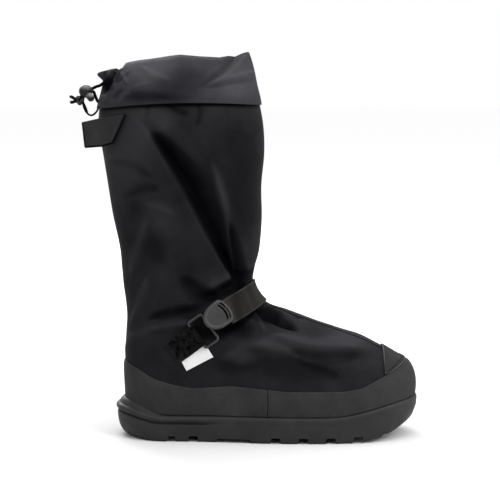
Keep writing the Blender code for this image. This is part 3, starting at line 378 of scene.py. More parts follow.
class Skin:
    """A surface through a table of sections. A place on it is a turn, 0 at the back, 0.5 at the front and up
    to there on the outer side, and a level, the number of a section."""

    def __init__(self, rows, creases, patches, tufted=False):
        self.rows, self.creases, self.patches, self.tufted = rows, creases, patches, tufted
        self.top = len(rows) - 1

    def row(self, level):
        """The section at a level, which may lie between two of the table."""
        return Section(*np.moveaxis(curve_through(self.rows, np.asarray(level, float)), -1, 0))

    def taut(self, turn, level):
        """Points without the creases."""
        turn = np.mod(turn, 1)
        row, along, side = self.row(level), along_of(turn), side_of(turn)
        x = row.back_x + (row.front_x - row.back_x) * along
        z = side_line(row, along, x)
        half = half_width(row, along)
        if self.tufted:
            off_back = np.minimum(turn, 1 - turn)
            rise = np.interp(x, HEM[:, 0], HEM[:, 1])
            z = z + (rise - HEM_LEAN * side * half) * (level / self.top) ** 2
            x = x - TUFT_OUT * bump(off_back / TUFT_TURN) * bump((level - TUFT_LEVEL) / TUFT_LEVELS)
        return np.stack([x, centre_y(x) + side * half, z], -1)

    def normal(self, turn, level):
        around = self.taut(turn + TURN_STEP, level) - self.taut(turn - TURN_STEP, level)
        low, high = np.maximum(level - LEVEL_STEP, 0), np.minimum(level + LEVEL_STEP, self.top)
        return unit(np.cross(around, self.taut(turn, high) - self.taut(turn, low)))

    def crease_rise(self, turn, points):
        """How far the creases lift the cloth, softened over the back and the front, where the sides meet."""
        rise = relief(self.creases, side_of(turn), points[..., 0], points[..., 2])
        return rise * off_middle(turn, CREASE_FADE)

    def tone_and_painted_light(self, turn, level):
        """Painted shade and painted light by fold height and painted patch: 0, painted black, deep in a
        trough, about half on flat cloth.
        """
        turn, level = np.broadcast_arrays(np.asarray(turn, float), np.asarray(level, float))
        points = self.taut(turn, level)
        tone_and_painted_light = FLAT_PAINTED_SHADE + self.crease_rise(turn, points) / PAINTED_SHADE_HEIGHT
        shown = np.where(side_of(turn) == OUTER, off_middle(turn, PATCH_FADE), 0)
        for x, z, reach_x, reach_z, gain in self.patches:
            away = np.hypot((points[..., 0] - x) / reach_x, (points[..., 2] - z) / reach_z)
            tone_and_painted_light = tone_and_painted_light + gain * bump(away) * shown
        return np.clip(tone_and_painted_light, 0, 1)

    def grown(self, turn, level, height=0.0, creased=True):
        """Points and normals at a height over the cloth."""
        turn, level = np.broadcast_arrays(np.asarray(turn, float), np.asarray(level, float))
        points, normals = self.taut(turn, level), self.normal(turn, level)
        if creased:
            height = height + self.crease_rise(turn, points)
        return points + normals * np.asarray(height)[..., None], normals

    def level_where(self, turn, below, top=None):
        """The level up to which a test of points holds, for each turn."""
        high = np.full(np.shape(turn), float(self.top if top is None else top))
        return bisect(np.zeros(np.shape(turn)), high, lambda level: below(self.taut(turn, level)))

    def locate(self, x, z):
        """The turn and level of points on the outer side that are at x and z, seen from the side."""
        x, z = np.broadcast_arrays(np.asarray(x, float), np.asarray(z, float))

        def along_at(row):
            return np.clip((x - row.back_x) / (row.front_x - row.back_x), 0, 1)

        def below(level):
            row = self.row(level)
            return side_line(row, along_at(row), x) < z

        level = bisect(np.zeros(x.shape), np.full(x.shape, float(self.top)), below)
        return turn_of(along_at(self.row(level))), level

    def turn_beside_front(self, level, offset):
        """The turn on the outer side that is this far from the middle of the front, for each level."""
        def wide(turn):
            points = self.taut(turn, level)
            return np.abs(points[..., 1] - centre_y(points[..., 0])) > offset

        return bisect(np.full(level.shape, BESIDE_FRONT), np.full(level.shape, FRONT), wide)

    def turn_at(self, x, level):
        row = self.row(level)
        return float(turn_of((x - row.back_x) / (row.front_x - row.back_x)))


UPPER = Skin(UPPER_SECTIONS, UPPER_CREASES, UPPER_PAINTED_PATCHES)
COLLAR = Skin(COLLAR_SECTIONS, COLLAR_CREASES, COLLAR_PAINTED_PATCHES, tufted=True)


# Mesh helpers


def grid_quads(rows, columns, closed=False, first=0):
    """Corner numbers of faces between neighbouring rows; a closed grid joins its last column to its first."""
    across = columns if closed else columns - 1
    row, column = np.meshgrid(np.arange(rows - 1), np.arange(across), indexing="ij")
    after = (column + 1) % columns
    low, high = row * columns, (row + 1) * columns
    return first + np.stack([low + column, low + after, high + after, high + column], -1).reshape(-1, 4)


def run_lengths(points, axis):
    """How far along a grid each point is, in millimetres."""
    steps = np.linalg.norm(np.diff(points, axis=axis), axis=-1)
    start = np.zeros_like(np.take(steps, [0], axis))
    return np.concatenate([start, np.cumsum(steps, axis)], axis)


def new_mesh(name, points, faces):
    """A mesh of points in millimetres."""
    mesh = bpy.data.meshes.new(name)
    mesh.from_pydata((np.asarray(points) * MM).tolist(), [], [list(map(int, face)) for face in faces])
    return mesh


def set_tone_and_painted_light(mesh, tone_and_painted_light):
    """Tone and painted light of each point, from 0, painted shade that keeps a deep fold black, to 1, the
    palest painted highlight.
    """
    layer = mesh.attributes.new("tone_and_painted_light", "FLOAT", "POINT")
    layer.data.foreach_set("value", np.asarray(tone_and_painted_light, np.float32).ravel())


def add_piece(name, mesh, material, body=BODY):
    """A mesh as a piece that rides on a body."""
    mesh.materials.clear()
    mesh.materials.append(material)
    made = bpy.data.objects.new(name, mesh)
    bpy.context.scene.collection.objects.link(made)
    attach(made, body)
    return made


def add_mesh(name, points, faces, material, slot, weave=None, tone_and_painted_light=None):
    """A smooth piece of points in millimetres, with weave as its texture's map."""
    mesh = new_mesh(name, points, faces)
    if weave is not None:
        layer = mesh.uv_layers.new(name="weave")
        corners = np.zeros(len(mesh.loops), dtype=np.int32)
        mesh.loops.foreach_get("vertex_index", corners)
        layer.uv.foreach_set("vector", (np.asarray(weave)[corners] * MM).astype(np.float32).ravel())
    if tone_and_painted_light is not None:
        set_tone_and_painted_light(mesh, tone_and_painted_light)
    mesh.shade_smooth()
    return add_piece(name, mesh, material)


# How the places beside an edge are spaced, and the share of a sheet's thickness that its rim has
EDGE_PLACES, RIM_SHARE = np.array([0, 0.12, 0.3, 0.6]), 0.2


def edged(count, share):
    """Places from 0 to 1 with closer ones over a share at both ends."""
    close = EDGE_PLACES * share
    return np.concatenate([close, np.linspace(share, 1 - share, count), 1 - close[::-1]])


class Sheet(namedtuple("Sheet", "wall edge columns end_share rows side_share")):
    """A sheet's thickness, how far in its edges are rounded, and its mesh, closer near its ends and sides."""

    def along(self):
        return edged(self.columns, self.end_share)

    def across(self):
        return edged(self.rows, self.side_share)

    def lift(self):
        """Height of its middle over the cloth that it lies on."""
        return OVERLAY_GAP + self.wall / 2


def grid_places(points):
    """How far along and down a grid each point is, and how far from the nearest edge."""
    down, along = run_lengths(points, 0), run_lengths(points, 1)
    return along, down, np.minimum.reduce([down, down[-1:] - down, along, along[:, -1:] - along])


def add_sheet(name, sheet, points, normals, material, slot, tone_and_painted_light=None):
    """A sheet with rounded edges round a grid of its middle points."""
    rows, columns = points.shape[:2]
    along, down, near = grid_places(points)
    swell = np.sqrt(1 - (1 - np.clip(near / sheet.edge, 0, 1)) ** 2)
    rise = sheet.wall / 2 * (RIM_SHARE + (1 - RIM_SHARE) * swell)
    lift = normals * rise[..., None]
    made = np.concatenate([(points + lift).reshape(-1, 3), (points - lift).reshape(-1, 3)])
    count = rows * columns
    numbers = np.arange(count).reshape(rows, columns)
    rim = np.concatenate([numbers[0], numbers[1:, -1], numbers[-1, -2::-1], numbers[-2:0:-1, 0]])
    after = np.roll(rim, -1)
    sides = np.stack([rim, rim + count, after + count, after], -1)
    back = grid_quads(rows, columns, first=count)[:, ::-1]
    faces = np.concatenate([grid_quads(rows, columns), back, sides])
    weave = np.tile(np.stack([along, down], -1).reshape(-1, 2), (2, 1))
    tone_and_painted_light = None if tone_and_painted_light is None else np.tile(np.ravel(tone_and_painted_light), 2)
    return add_mesh(name, made, faces, material, slot, weave, tone_and_painted_light)


def edge_highlight(points, width):
    """1 at the edge of a grid of points, 0 from a width inwards: used for a painted highlight along edges."""
    return 1 - ease(grid_places(points)[2] / width)


# A way that no tube starts along
TUBE_SIDEWAYS = (0.3, 0.2, 0.9)


def tube(points, radius, sides, cyclic=False):
    """A round tube along points: its points, faces and texture map."""
    points = np.asarray(points, float)
    count = len(points)
    ahead = np.roll(points, -1, 0) - np.roll(points, 1, 0)
    if not cyclic:
        ahead[0], ahead[-1] = points[1] - points[0], points[-1] - points[-2]
    ahead = unit(ahead)
    side = np.cross(ahead[0], TUBE_SIDEWAYS)
    turn = np.linspace(0, 2 * np.pi, sides, endpoint=False)[:, None]
    rings, radii = [], np.broadcast_to(radius, count)
    for place, way, size in zip(points, ahead, radii):
        side = unit(side - way * np.dot(side, way))
        rings.append(place + size * (np.cos(turn) * side + np.sin(turn) * np.cross(way, side)))
    faces = [*grid_quads(count, sides, closed=True)]
    last = (count - 1) * sides
    if cyclic:
        faces += [(last + step, last + (step + 1) % sides, (step + 1) % sides, step) for step in range(sides)]
    else:
        faces += [range(sides - 1, -1, -1), range(last, last + sides)]
    around = np.broadcast_to(np.arange(sides) / sides * 2 * np.pi * np.mean(radii), (count, sides))
    weave = np.stack([np.broadcast_to(run_lengths(points, 0)[:, None], (count, sides)), around], -1)
    return np.concatenate(rings), faces, weave.reshape(-1, 2)


def add_tube(name, points, radius, material, slot, sides, cyclic=False):
    made, faces, weave = tube(points, radius, sides, cyclic)
    return add_mesh(name, made, faces, material, slot, weave)


def join(parts):
    """Several point and face lists as one."""
    points, faces, count = [], [], 0
    for part_points, part_faces in parts:
        points.append(np.asarray(part_points))
        faces += [[count + int(corner) for corner in face] for face in part_faces]
        count += len(part_points)
    return np.concatenate(points), faces


def add_joined(name, parts, material, slot):
    add_mesh(name, *join(parts), material, slot)


STITCH_LENGTH, STITCH_PITCH, STITCH_WIDTH, STITCH_HEIGHT = 2.5, 3.5, 0.7, 0.3
STITCH_SIDES, STITCH_PLACES, STITCH_BLUNT = 6, (-1, -0.8, 0, 0.8, 1), 0.12


def stitch(middle, along, out, length=STITCH_LENGTH, width=STITCH_WIDTH, height=STITCH_HEIGHT):
    """One stitch: a small rounded loaf of thread lying along the cloth."""
    along = unit(along - out * np.dot(along, out))
    across = np.cross(out, along)
    points = []
    for place in STITCH_PLACES:
        size = math.sqrt(max(0.0, 1 - abs(place) ** 3)) + STITCH_BLUNT
        for turn in np.linspace(0, 2 * math.pi, STITCH_SIDES, endpoint=False):
            points.append(middle + along * place * length / 2 + across * math.cos(turn) * size * width / 2
                          + out * math.sin(turn) * size * height)
    last = len(points) - STITCH_SIDES
    faces = [*grid_quads(len(STITCH_PLACES), STITCH_SIDES, closed=True)]
    return points, faces + [range(STITCH_SIDES - 1, -1, -1), range(last, len(points))]


def stitch_row(points, normals):
    """Stitches evenly spaced along a line on a surface."""
    travelled = run_lengths(points, 0)

    def at(values, place):
        return np.array([np.interp(place, travelled, values[:, axis]) for axis in range(3)])

    made = []
    for place in np.arange(STITCH_PITCH / 2, travelled[-1] - STITCH_LENGTH / 2, STITCH_PITCH):
        start, end = at(points, place - STITCH_LENGTH / 2), at(points, place + STITCH_LENGTH / 2)
        made.append(stitch((start + end) / 2, end - start, unit(at(normals, place))))
    return made


# Materials. A noise is its scale, detail and roughness, and stops are places on a ramp. A wave texture has a
# rib in every tenth of pi at scale 1.

CLOTH_PATCHES, CLOTH_CRUMPLES, CLOTH_SHINE, CLOTH_SHINE_SPAN = (26.0, 5.0, 0.62), (90.0, 4.0), 60.0, 0.06
CLOTH_PATCH_SHARE, FOLD_STOPS, PLAIN_STOPS = 0.36, (0.17, 0.62, 1.0), (0.3, 0.7)
THREAD_WANDER, WAVE_SCALE = 0.6, math.pi / 10
GRAIN_PATCHES, GRAIN_CLOUDS, GRAIN_DETAIL = (6.0, 0.65), 140.0, 2.0
GRAIN_SHINE, GRAIN_SHINE_SPAN = 110.0, 0.08
GRAIN_PATCH_SHARE, HIGHLIGHT_STOPS, SCUFF_STOPS = 0.6, (0.22, 0.36, 0.95), (0.3, 0.62, 0.8)


def new_tree(name):
    """A new material and its shader nodes."""
    material = bpy.data.materials.new(name)
    material.use_nodes = True
    return material, material.node_tree


def add_node(tree, kind, **inputs):
    """A shader node with its inputs set by name, or linked where they are given as sockets."""
    made = tree.nodes.new(kind)
    for name, value in inputs.items():
        socket = made.inputs[name]
        if isinstance(value, bpy.types.NodeSocket):
            tree.links.new(value, socket)
        else:
            socket.default_value = value
    return made


def ramp(tree, share, places, colours):
    """A colour or grey that changes with share, through colours at places."""
    made = add_node(tree, "ShaderNodeValToRGB", Fac=share)
    elements = made.color_ramp.elements
    while len(elements) < len(colours):
        elements.new(0.5)
    for element, place, colour in zip(elements, places, colours):
        element.position = place
        element.color = (colour, colour, colour, 1) if isinstance(colour, (int, float)) else (*colour, 1)
    return made.outputs["Color"]


def object_place(tree):
    return tree.nodes.new("ShaderNodeTexCoord").outputs["Object"]


def weave_place(tree):
    """The cloth's own map, in metres along and across it."""
    made = tree.nodes.new("ShaderNodeUVMap")
    made.uv_map = "weave"
    return made.outputs["UV"]


def noise(tree, place, scale, detail=3.0, roughness=0.55):
    made = add_node(tree, "ShaderNodeTexNoise", Vector=place, Scale=scale, Detail=detail, Roughness=roughness)
    return made.outputs["Fac"]


def threads(tree, place, scale, direction):
    """Ribs of thread along one way of the cloth, scale in ribs a metre."""
    made = add_node(tree, "ShaderNodeTexWave", Vector=place, Scale=scale * WAVE_SCALE, Detail=1.0,
                    Distortion=THREAD_WANDER)
    made.bands_direction = direction
    return made.outputs["Fac"]


def bumped(tree, height, distance, **under):
    """A bump of a height in metres, over another bump where that is given as Normal."""
    made = add_node(tree, "ShaderNodeBump", Height=height, Distance=distance, Strength=1.0, **under)
    return made.outputs["Normal"]


def shine(tree, place, scale, rough, span):
    """Roughness that varies by a span about its middle."""
    return ramp(tree, noise(tree, place, scale), PLAIN_STOPS, (rough - span, rough + span))


def finish_shader(tree, colour, roughness, normal, specular):
    """Feeds the main shader; all but specular are sockets."""
    shader = tree.nodes["Principled BSDF"]
    for name, socket in (("Base Color", colour), ("Roughness", roughness), ("Normal", normal)):
        tree.links.new(socket, shader.inputs[name])
    shader.inputs["Specular IOR Level"].default_value = specular


def mixed_tone_and_painted_light(tree, patches, share):
    """The tone and painted light of the surface, with a share of cloudy patches added to it."""
    tone_and_painted_light = tree.nodes.new("ShaderNodeAttribute")
    tone_and_painted_light.attribute_name = "tone_and_painted_light"
    made = tree.nodes.new("ShaderNodeMath")
    made.operation = "MULTIPLY_ADD"
    tree.links.new(patches, made.inputs[0])
    made.inputs[1].default_value = share
    tree.links.new(tone_and_painted_light.outputs["Fac"], made.inputs[2])
    return made.outputs["Value"]


def cloth_material(name, dark, light, rough, threads_a_metre, thread_depth, crumple, specular, deep=None):
    """Woven cloth: crossing threads, small crumples, and patches a little lighter and duller. Cloth with a
    deep colour takes that as painted shade in its folds and dents, and its light colour as painted light on
    ridges."""
    material, tree = new_tree(name)
    place, weave = object_place(tree), weave_place(tree)
    patches = noise(tree, place, *CLOTH_PATCHES)
    if deep:
        colour = ramp(tree, mixed_tone_and_painted_light(tree, patches, CLOTH_PATCH_SHARE), FOLD_STOPS, (deep, dark, light))
    else:
        colour = ramp(tree, patches, PLAIN_STOPS, (dark, light))
    normal = bumped(tree, noise(tree, place, *CLOTH_CRUMPLES), crumple)
    for direction in ("X", "Y"):
        normal = bumped(tree, threads(tree, weave, threads_a_metre, direction), thread_depth, Normal=normal)
    finish_shader(tree, colour, shine(tree, place, CLOTH_SHINE, rough, CLOTH_SHINE_SPAN), normal, specular)
    return material


def grained_material(name, dark, light, rough, grain, grain_depth, specular, scuff=None, painted_highlight=None,
                     patch_scale=35.0):
    """Rubber, coated cloth or plastic: an even grain, cloudy patches, and either a few paler scuffs or, where
    a highlight colour is given, a painted highlight on edges, rims or tops.
    """
    material, tree = new_tree(name)
    place = object_place(tree)
    patches = noise(tree, place, patch_scale, *GRAIN_PATCHES)
    if painted_highlight:
        colour = ramp(tree, mixed_tone_and_painted_light(tree, patches, GRAIN_PATCH_SHARE), HIGHLIGHT_STOPS, (dark, light, painted_highlight))
    else:
        colour = ramp(tree, patches, SCUFF_STOPS, (dark, light, scuff) if scuff else (dark, light))
    normal = bumped(tree, noise(tree, place, GRAIN_CLOUDS, GRAIN_DETAIL), grain_depth)
    normal = bumped(tree, noise(tree, place, grain, GRAIN_DETAIL), grain_depth, Normal=normal)
    finish_shader(tree, colour, shine(tree, place, GRAIN_SHINE, rough, GRAIN_SHINE_SPAN), normal, specular)
    return material


# The deep colours of the black and collar nylon are painted shade in their folds, and their light colours
# painted light on ridges and patches
NYLON = cloth_material(
    "black nylon", (0.0056, 0.0055, 0.0064), (0.0205, 0.0199, 0.0228), 0.65, 2200, 0.00004, 0.0006, 0.03,
    deep=(0.0004, 0.0004, 0.0009))
COLLAR_NYLON = cloth_material(
    "collar nylon", (0.0165, 0.0160, 0.0188), (0.043, 0.042, 0.048), 0.6, 2600, 0.00003, 0.0005, 0.015,
    deep=(0.0012, 0.0012, 0.002))
LINING = cloth_material(
    "lining", (0.006, 0.006, 0.007), (0.010, 0.010, 0.011), 0.8, 1500, 0.00006, 0.0004, 0.1)
COATED = grained_material(
    "coated rand", (0.0150, 0.0150, 0.0158), (0.0225, 0.0225, 0.0235), 0.78, 1500.0, 0.00010, 0.12,
    scuff=(0.029, 0.029, 0.030))
CAP_CLOTH = cloth_material(
    "toe cap cloth", (0.022, 0.022, 0.023), (0.062, 0.062, 0.064), 0.85, 700, 0.0004, 0.0008, 0.08,
    deep=(0.010, 0.010, 0.011))
RUBBER = grained_material(
    "sole rubber", (0.0125, 0.0125, 0.0132), (0.0185, 0.0185, 0.0192), 0.58, 2200.0, 0.00006, 0.16,
    scuff=(0.026, 0.026, 0.026))
# The webbing's deep colour is painted shade in its dents
WEBBING = cloth_material(
    "webbing", (0.0128, 0.0123, 0.0110), (0.0350, 0.0340, 0.0315), 0.85, 800, 0.00025, 0.0002, 0.06,
    deep=(0.003, 0.0028, 0.0025))
# The tape's pale colour is a painted highlight along its edges
TAPE = grained_material(
    "hook-and-loop tape", (0.0006, 0.0006, 0.0008), (0.0080, 0.0080, 0.0086), 0.95, 1300.0, 0.0009, 0.02,
    painted_highlight=(0.045, 0.045, 0.046), patch_scale=240.0)
TAB_TAPE = grained_material(
    "tab tape", (0.017, 0.017, 0.018), (0.026, 0.026, 0.027), 0.9, 1400.0, 0.0006, 0.08)
# Black for the gusset seams and toe cap stitches, and for the tubes along the pull tab's edges that are
# painted shadow lines
BLACK_SEAM_AND_SHADOW = grained_material(
    "black seams and painted shadow lines", (0.0012, 0.0012, 0.0015), (0.0030, 0.0030, 0.0033), 0.9, 2000.0, 0.0002, 0.02)
# The moulded plastic's pale colour is a painted highlight on the buckle plate's rim
MOULDED = grained_material(
    "moulded plastic", (0.019, 0.019, 0.0195), (0.026, 0.026, 0.0265), 0.45, 2600.0, 0.00004, 0.2,
    painted_highlight=(0.044, 0.044, 0.0445))
# The lock plastic's pale colour is a painted highlight on the top of the ball and the button
LOCK_PLASTIC = grained_material(
    "cord lock plastic", (0.005, 0.005, 0.0055), (0.011, 0.011, 0.0115), 0.3, 700.0, 0.00002, 0.12,
    painted_highlight=(0.12, 0.12, 0.12))
LABEL_CLOTH = cloth_material(
    "label cloth", (0.60, 0.60, 0.60), (0.70, 0.70, 0.70), 0.75, 1600, 0.00008, 0.0002, 0.2)
CORD = cloth_material(
    "drawcord", (0.002, 0.002, 0.0023), (0.006, 0.006, 0.0066), 0.9, 900, 0.0003, 0.0002, 0.02)
# The knot is the drawcord's cord made far paler: a painted highlight
HIGHLIT_KNOT_CORD = cloth_material(
    "knotted cord with painted highlight", (0.015, 0.015, 0.0155), (0.060, 0.060, 0.061), 0.7, 900, 0.0003, 0.0004, 0.04)
THREAD = grained_material(
    "sewing thread", (0.016, 0.016, 0.017), (0.026, 0.026, 0.027), 0.75, 3000.0, 0.0001, 0.08)
BOARD = grained_material(
    "insole board", (0.010, 0.010, 0.011), (0.018, 0.018, 0.019), 0.9, 900.0, 0.0003, 0.1)


# The upper and its lining

UPPER_AROUND, UPPER_ROWS = 300, 240
LINING_AROUND, LINING_ROWS, LINING_SLACK = 200, 160, 0.8


def even_levels(skin, count):
    """Levels whose sections are about evenly spaced along the front or the back, whichever moves more."""
    rows = skin.rows
    back = np.hypot(np.diff(rows[:, 0]), np.diff(rows[:, 1]))
    front = np.hypot(np.diff(rows[:, 2]), np.diff(rows[:, 3]))
    travelled = np.concatenate(([0], np.cumsum(np.maximum(back, front))))
    return np.interp(np.linspace(0, travelled[-1], count), travelled, np.arange(len(rows)))


def ring_turns(count):
    return np.arange(count) / count


def ring_weave(points):
    """A texture map round a closed grid: along its sections and up."""
    along, up = run_lengths(points, 1), run_lengths(points, 0)
    return np.stack([along, np.broadcast_to(up.mean(axis=1, keepdims=True), along.shape)], -1).reshape(-1, 2)


def add_upper():
    turns, levels = ring_turns(UPPER_AROUND)[None], even_levels(UPPER, UPPER_ROWS)[:, None]
    points, _ = UPPER.grown(turns, levels)
    faces = grid_quads(UPPER_ROWS, UPPER_AROUND, closed=True)
    # The cloth is painted black in its troughs and paler on ridges and patches: painted shade and painted
    # light
    made = add_mesh("upper_cloth", points.reshape(-1, 3), faces, NYLON, "nylon", ring_weave(points),
                    UPPER.tone_and_painted_light(turns, levels))
    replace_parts(made, "upper")
    levels = even_levels(UPPER, LINING_ROWS)[:, None]
    points, _ = UPPER.grown(ring_turns(LINING_AROUND)[None], levels, -UPPER_WALL - LINING_SLACK)
    faces = grid_quads(LINING_ROWS, LINING_AROUND, closed=True)[:, ::-1]
    add_mesh("upper_lining", points.reshape(-1, 3), faces, LINING, "nylon", ring_weave(points))


# Seams of the tongue's gusset, from the strap to the toe cap: their ends along the boot, and how far they are
# from its middle there
GUSSET_REAR_X, GUSSET_FRONT_X, GUSSET_REAR_SPREAD, GUSSET_FRONT_SPREAD = -4, 123, 6, 12
GUSSET_RADIUS, GUSSET_LIFT, GUSSET_SIDES, GUSSET_STITCH_GAP, GUSSET_POINTS = 0.5, 0.1, 8, 2.2, 90


def add_gusset_seams():
    """A flat seam beside the instep's ridge, on both sides, with its stitches."""
    front_x = UPPER.rows[:INSTEP_ROW + 2, 2]
    tip = int(np.argmax(front_x))
    place = np.linspace(GUSSET_REAR_X, GUSSET_FRONT_X, GUSSET_POINTS)
    level = np.interp(-place, -front_x[tip:], np.arange(tip, len(front_x)))
    spread = np.linspace(GUSSET_REAR_SPREAD, GUSSET_FRONT_SPREAD, GUSSET_POINTS)
    seam = UPPER.turn_beside_front(level, spread)
    sewn = UPPER.turn_beside_front(level, spread + GUSSET_STITCH_GAP)
    bars, rows = [], []
    for seam_turn, sewn_turn in ((seam, sewn), (1 - seam, 1 - sewn)):
        points, _ = UPPER.grown(seam_turn, level, GUSSET_LIFT)
        bars.append(tube(points, GUSSET_RADIUS, GUSSET_SIDES)[:2])
        rows += stitch_row(*UPPER.grown(sewn_turn, level))
    add_joined("gusset_seams", bars, BLACK_SEAM_AND_SHADOW, "nylon")
    add_joined("gusset_stitches", rows, THREAD, "nylon")


# The collar

COLLAR_AROUND, COLLAR_ROWS, COLLAR_FOLD = 320, 70, 1.4
HEM_ROUND, TUCK_ROUND = 1.2, 0.8
HEM_TURNS, TUCK_TURNS = np.linspace(0, math.pi, 8)[1:-1], np.linspace(math.pi, 0, 6)[1:-1]


def rolled(edge, way, normals, radius, turns):
    """Rows of a roll at the edge of the cloth."""
    turns = turns[:, None, None]
    return edge + way * radius * np.sin(turns) - normals * radius * (1 - np.cos(turns))


def add_collar():
    """The outer side, a rolled hem at the mouth, the inner side and the turned edge over the shaft's top."""
    turns = ring_turns(COLLAR_AROUND)[None]
    levels = np.linspace(0, COLLAR.top, COLLAR_ROWS)[:, None]
    outer, normals = COLLAR.grown(turns, levels)
    inner = outer - normals * COLLAR_WALL * COLLAR_FOLD
    up, down = unit(outer[-1] - outer[-2]), unit(outer[0] - outer[1])
    roll = rolled(outer[-1], up, normals[-1], HEM_ROUND, HEM_TURNS)
    tuck = rolled(outer[0], down, normals[0], TUCK_ROUND, TUCK_TURNS)
    rows = np.concatenate([tuck, outer, roll, inner[::-2]])
    # Painted shade in the collar's troughs and painted light on its ridges and patches, also on the tuck and
    # the hem's roll
    tone_and_painted_light = COLLAR.tone_and_painted_light(turns, levels)
    tuck_painted_light, roll_painted_light = np.repeat(tone_and_painted_light[:1], len(tuck), 0), np.repeat(tone_and_painted_light[-1:], len(roll), 0)
    tone_and_painted_light = np.concatenate([tuck_painted_light, tone_and_painted_light, roll_painted_light, tone_and_painted_light[::-2]])
    faces = grid_quads(len(rows), COLLAR_AROUND, closed=True)
    made = add_mesh("collar_cloth", rows.reshape(-1, 3), faces, COLLAR_NYLON, "collar_nylon",
                    ring_weave(rows), tone_and_painted_light)
    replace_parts(made, "collar")


# The rand and the toe cap

RAND_SHEET, RAND_SINK, RAND_SINK_FROM = Sheet(1.2, 1.0, 200, 0.004, 10, 0.06), 0.8, 0.8
RAND_STITCH_INSET, RAND_STITCH_SINK, RAND_STITCH_POINTS = 0.1, 0.4, 900
RAND_SEAM_ROWS, RAND_SEAM_SHARES = (-4.2, -2.2, 2.2, 4.2), np.linspace(0.02, 0.96, 20)


def rand_levels(turn, rows):
    """Levels up the rand at each turn, from just above the sole's rim to the rand's upper edge."""
    rim = rim_height(sole_edge(turn, 0)[..., 0]) + GAP
    low = UPPER.level_where(turn, lambda points: points[..., 2] < rim)
    high = UPPER.level_where(turn, lambda points: points[..., 2] < rand_top(points[..., 0]))
    return low + (high - low) * rows[:, None]


def add_rand(name, first_turn, last_turn):
    turns = first_turn + (last_turn - first_turn) * RAND_SHEET.along()
    shares = RAND_SHEET.across()
    sink = RAND_SINK * ease((shares - RAND_SINK_FROM) / (1 - RAND_SINK_FROM))[:, None]
    points, normals = UPPER.grown(turns[None], rand_levels(turns, shares), RAND_SHEET.lift() - sink)
    made = add_sheet(f"{name}_band", RAND_SHEET, points, normals, COATED, "coated")
    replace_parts(made, name)


def add_rands():
    seam = UPPER.turn_at(RAND_SEAM_X, RAND_LEVEL)
    half_gap = seam - UPPER.turn_at(RAND_SEAM_X - RAND_SEAM_GAP / 2, RAND_LEVEL)
    add_rand("rand_rear", -seam + half_gap, seam - half_gap)
    add_rand("rand_front", seam + half_gap, 1 - seam - half_gap)
    turns = np.linspace(-FRONT, FRONT, RAND_STITCH_POINTS)
    low, high = rand_levels(turns, np.array([0.0, 1.0]))
    over = OVERLAY_GAP + RAND_SHEET.wall
    rows = stitch_row(*UPPER.grown(turns, high - (high - low) * RAND_STITCH_INSET, over - RAND_STITCH_SINK))
    for side in (1, -1):
        for offset in RAND_SEAM_ROWS:
            turn = side * UPPER.turn_at(RAND_SEAM_X + offset, RAND_LEVEL)
            levels = rand_levels(np.array([turn]), RAND_SEAM_SHARES)[:, 0]
            rows += stitch_row(*UPPER.grown(turn, levels, over))
    add_joined("rand_stitches", rows, THREAD, "coated")


CAP_SHEET = Sheet(1.3, 1.0, 90, 0.02, 26, 0.03)
CAP_TONE, CAP_EDGE_HIGHLIGHT, CAP_HIGHLIGHT_WIDTH = 0.4, 0.6, 2.0
CAP_STITCH_SHARES = (0.09, 0.2, 0.93)


def add_toe_cap():
    corner_turn, _ = UPPER.locate(CAP_REAR_X, CAP_CORNER_Z)
    half = (FRONT - float(corner_turn)) * CAP_CORNER_SHARE
    turns = FRONT + half * (2 * CAP_SHEET.along() - 1)
    low = UPPER.level_where(turns, lambda points: points[..., 2] < rand_top(points[..., 0]) + CAP_RAND_GAP)
    high = UPPER.level_where(turns, lambda points: points[..., 0] > CAP_REAR_X, INSTEP_ROW)
    levels = low + (high - low) * CAP_SHEET.across()[:, None]
    points, normals = UPPER.grown(turns[None], levels, CAP_SHEET.lift())
    # A painted highlight along the cap's edges, over an even tone
    tone_and_painted_light = CAP_TONE + CAP_EDGE_HIGHLIGHT * edge_highlight(points, CAP_HIGHLIGHT_WIDTH)
    made = add_sheet("toe_cap_patch", CAP_SHEET, points, normals, CAP_CLOTH, "cap_cloth", tone_and_painted_light)
    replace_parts(made, "toe_cap")
    rows = []
    for share in CAP_STITCH_SHARES:
        rows += stitch_row(*UPPER.grown(turns, low + (high - low) * share, OVERLAY_GAP + CAP_SHEET.wall))
    add_joined("toe_cap_stitches", rows, BLACK_SEAM_AND_SHADOW, "cap_cloth")


# The outsole

SOLE_AROUND, SOLE_PARTS = 176, 4
# A ring of the sole's outer side: whether its rise counts from the rim or the tread, its rise, how far in it
# lies, also at the heel's bead, and what is added to both at the heel and the toe
SoleRing = namedtuple(
    "SoleRing", "from_rim rise inset bead_inset heel_rise heel_inset toe_rise toe_inset",
    defaults=(0, 0, 0, 0))
SOLE_RINGS = [
    SoleRing(False, 0.0, 2.6, 0, 0, 9.0, 0, 8.0),
    SoleRing(False, 1.2, 1.4, 0, 4.0, 4.0, 4.0, 3.6),
    SoleRing(False, 6.0, 0.8, 0, 8.0, 0.8, 7.0, 1.0),
    SoleRing(True, -9.8, 0.4, 0),
    SoleRing(True, -8.4, 0.4, 1.9),
    SoleRing(True, -7.0, 0.4, 2.2),
    SoleRing(True, -5.8, 0.2, -0.4),
    SoleRing(True, -3.4, 0.1, -1.1),
    SoleRing(True, -1.6, 0.5, -0.6),
    SoleRing(True, -0.5, 1.2, 0.2),
    SoleRing(True, -0.1, 2.2, 0.4),
]
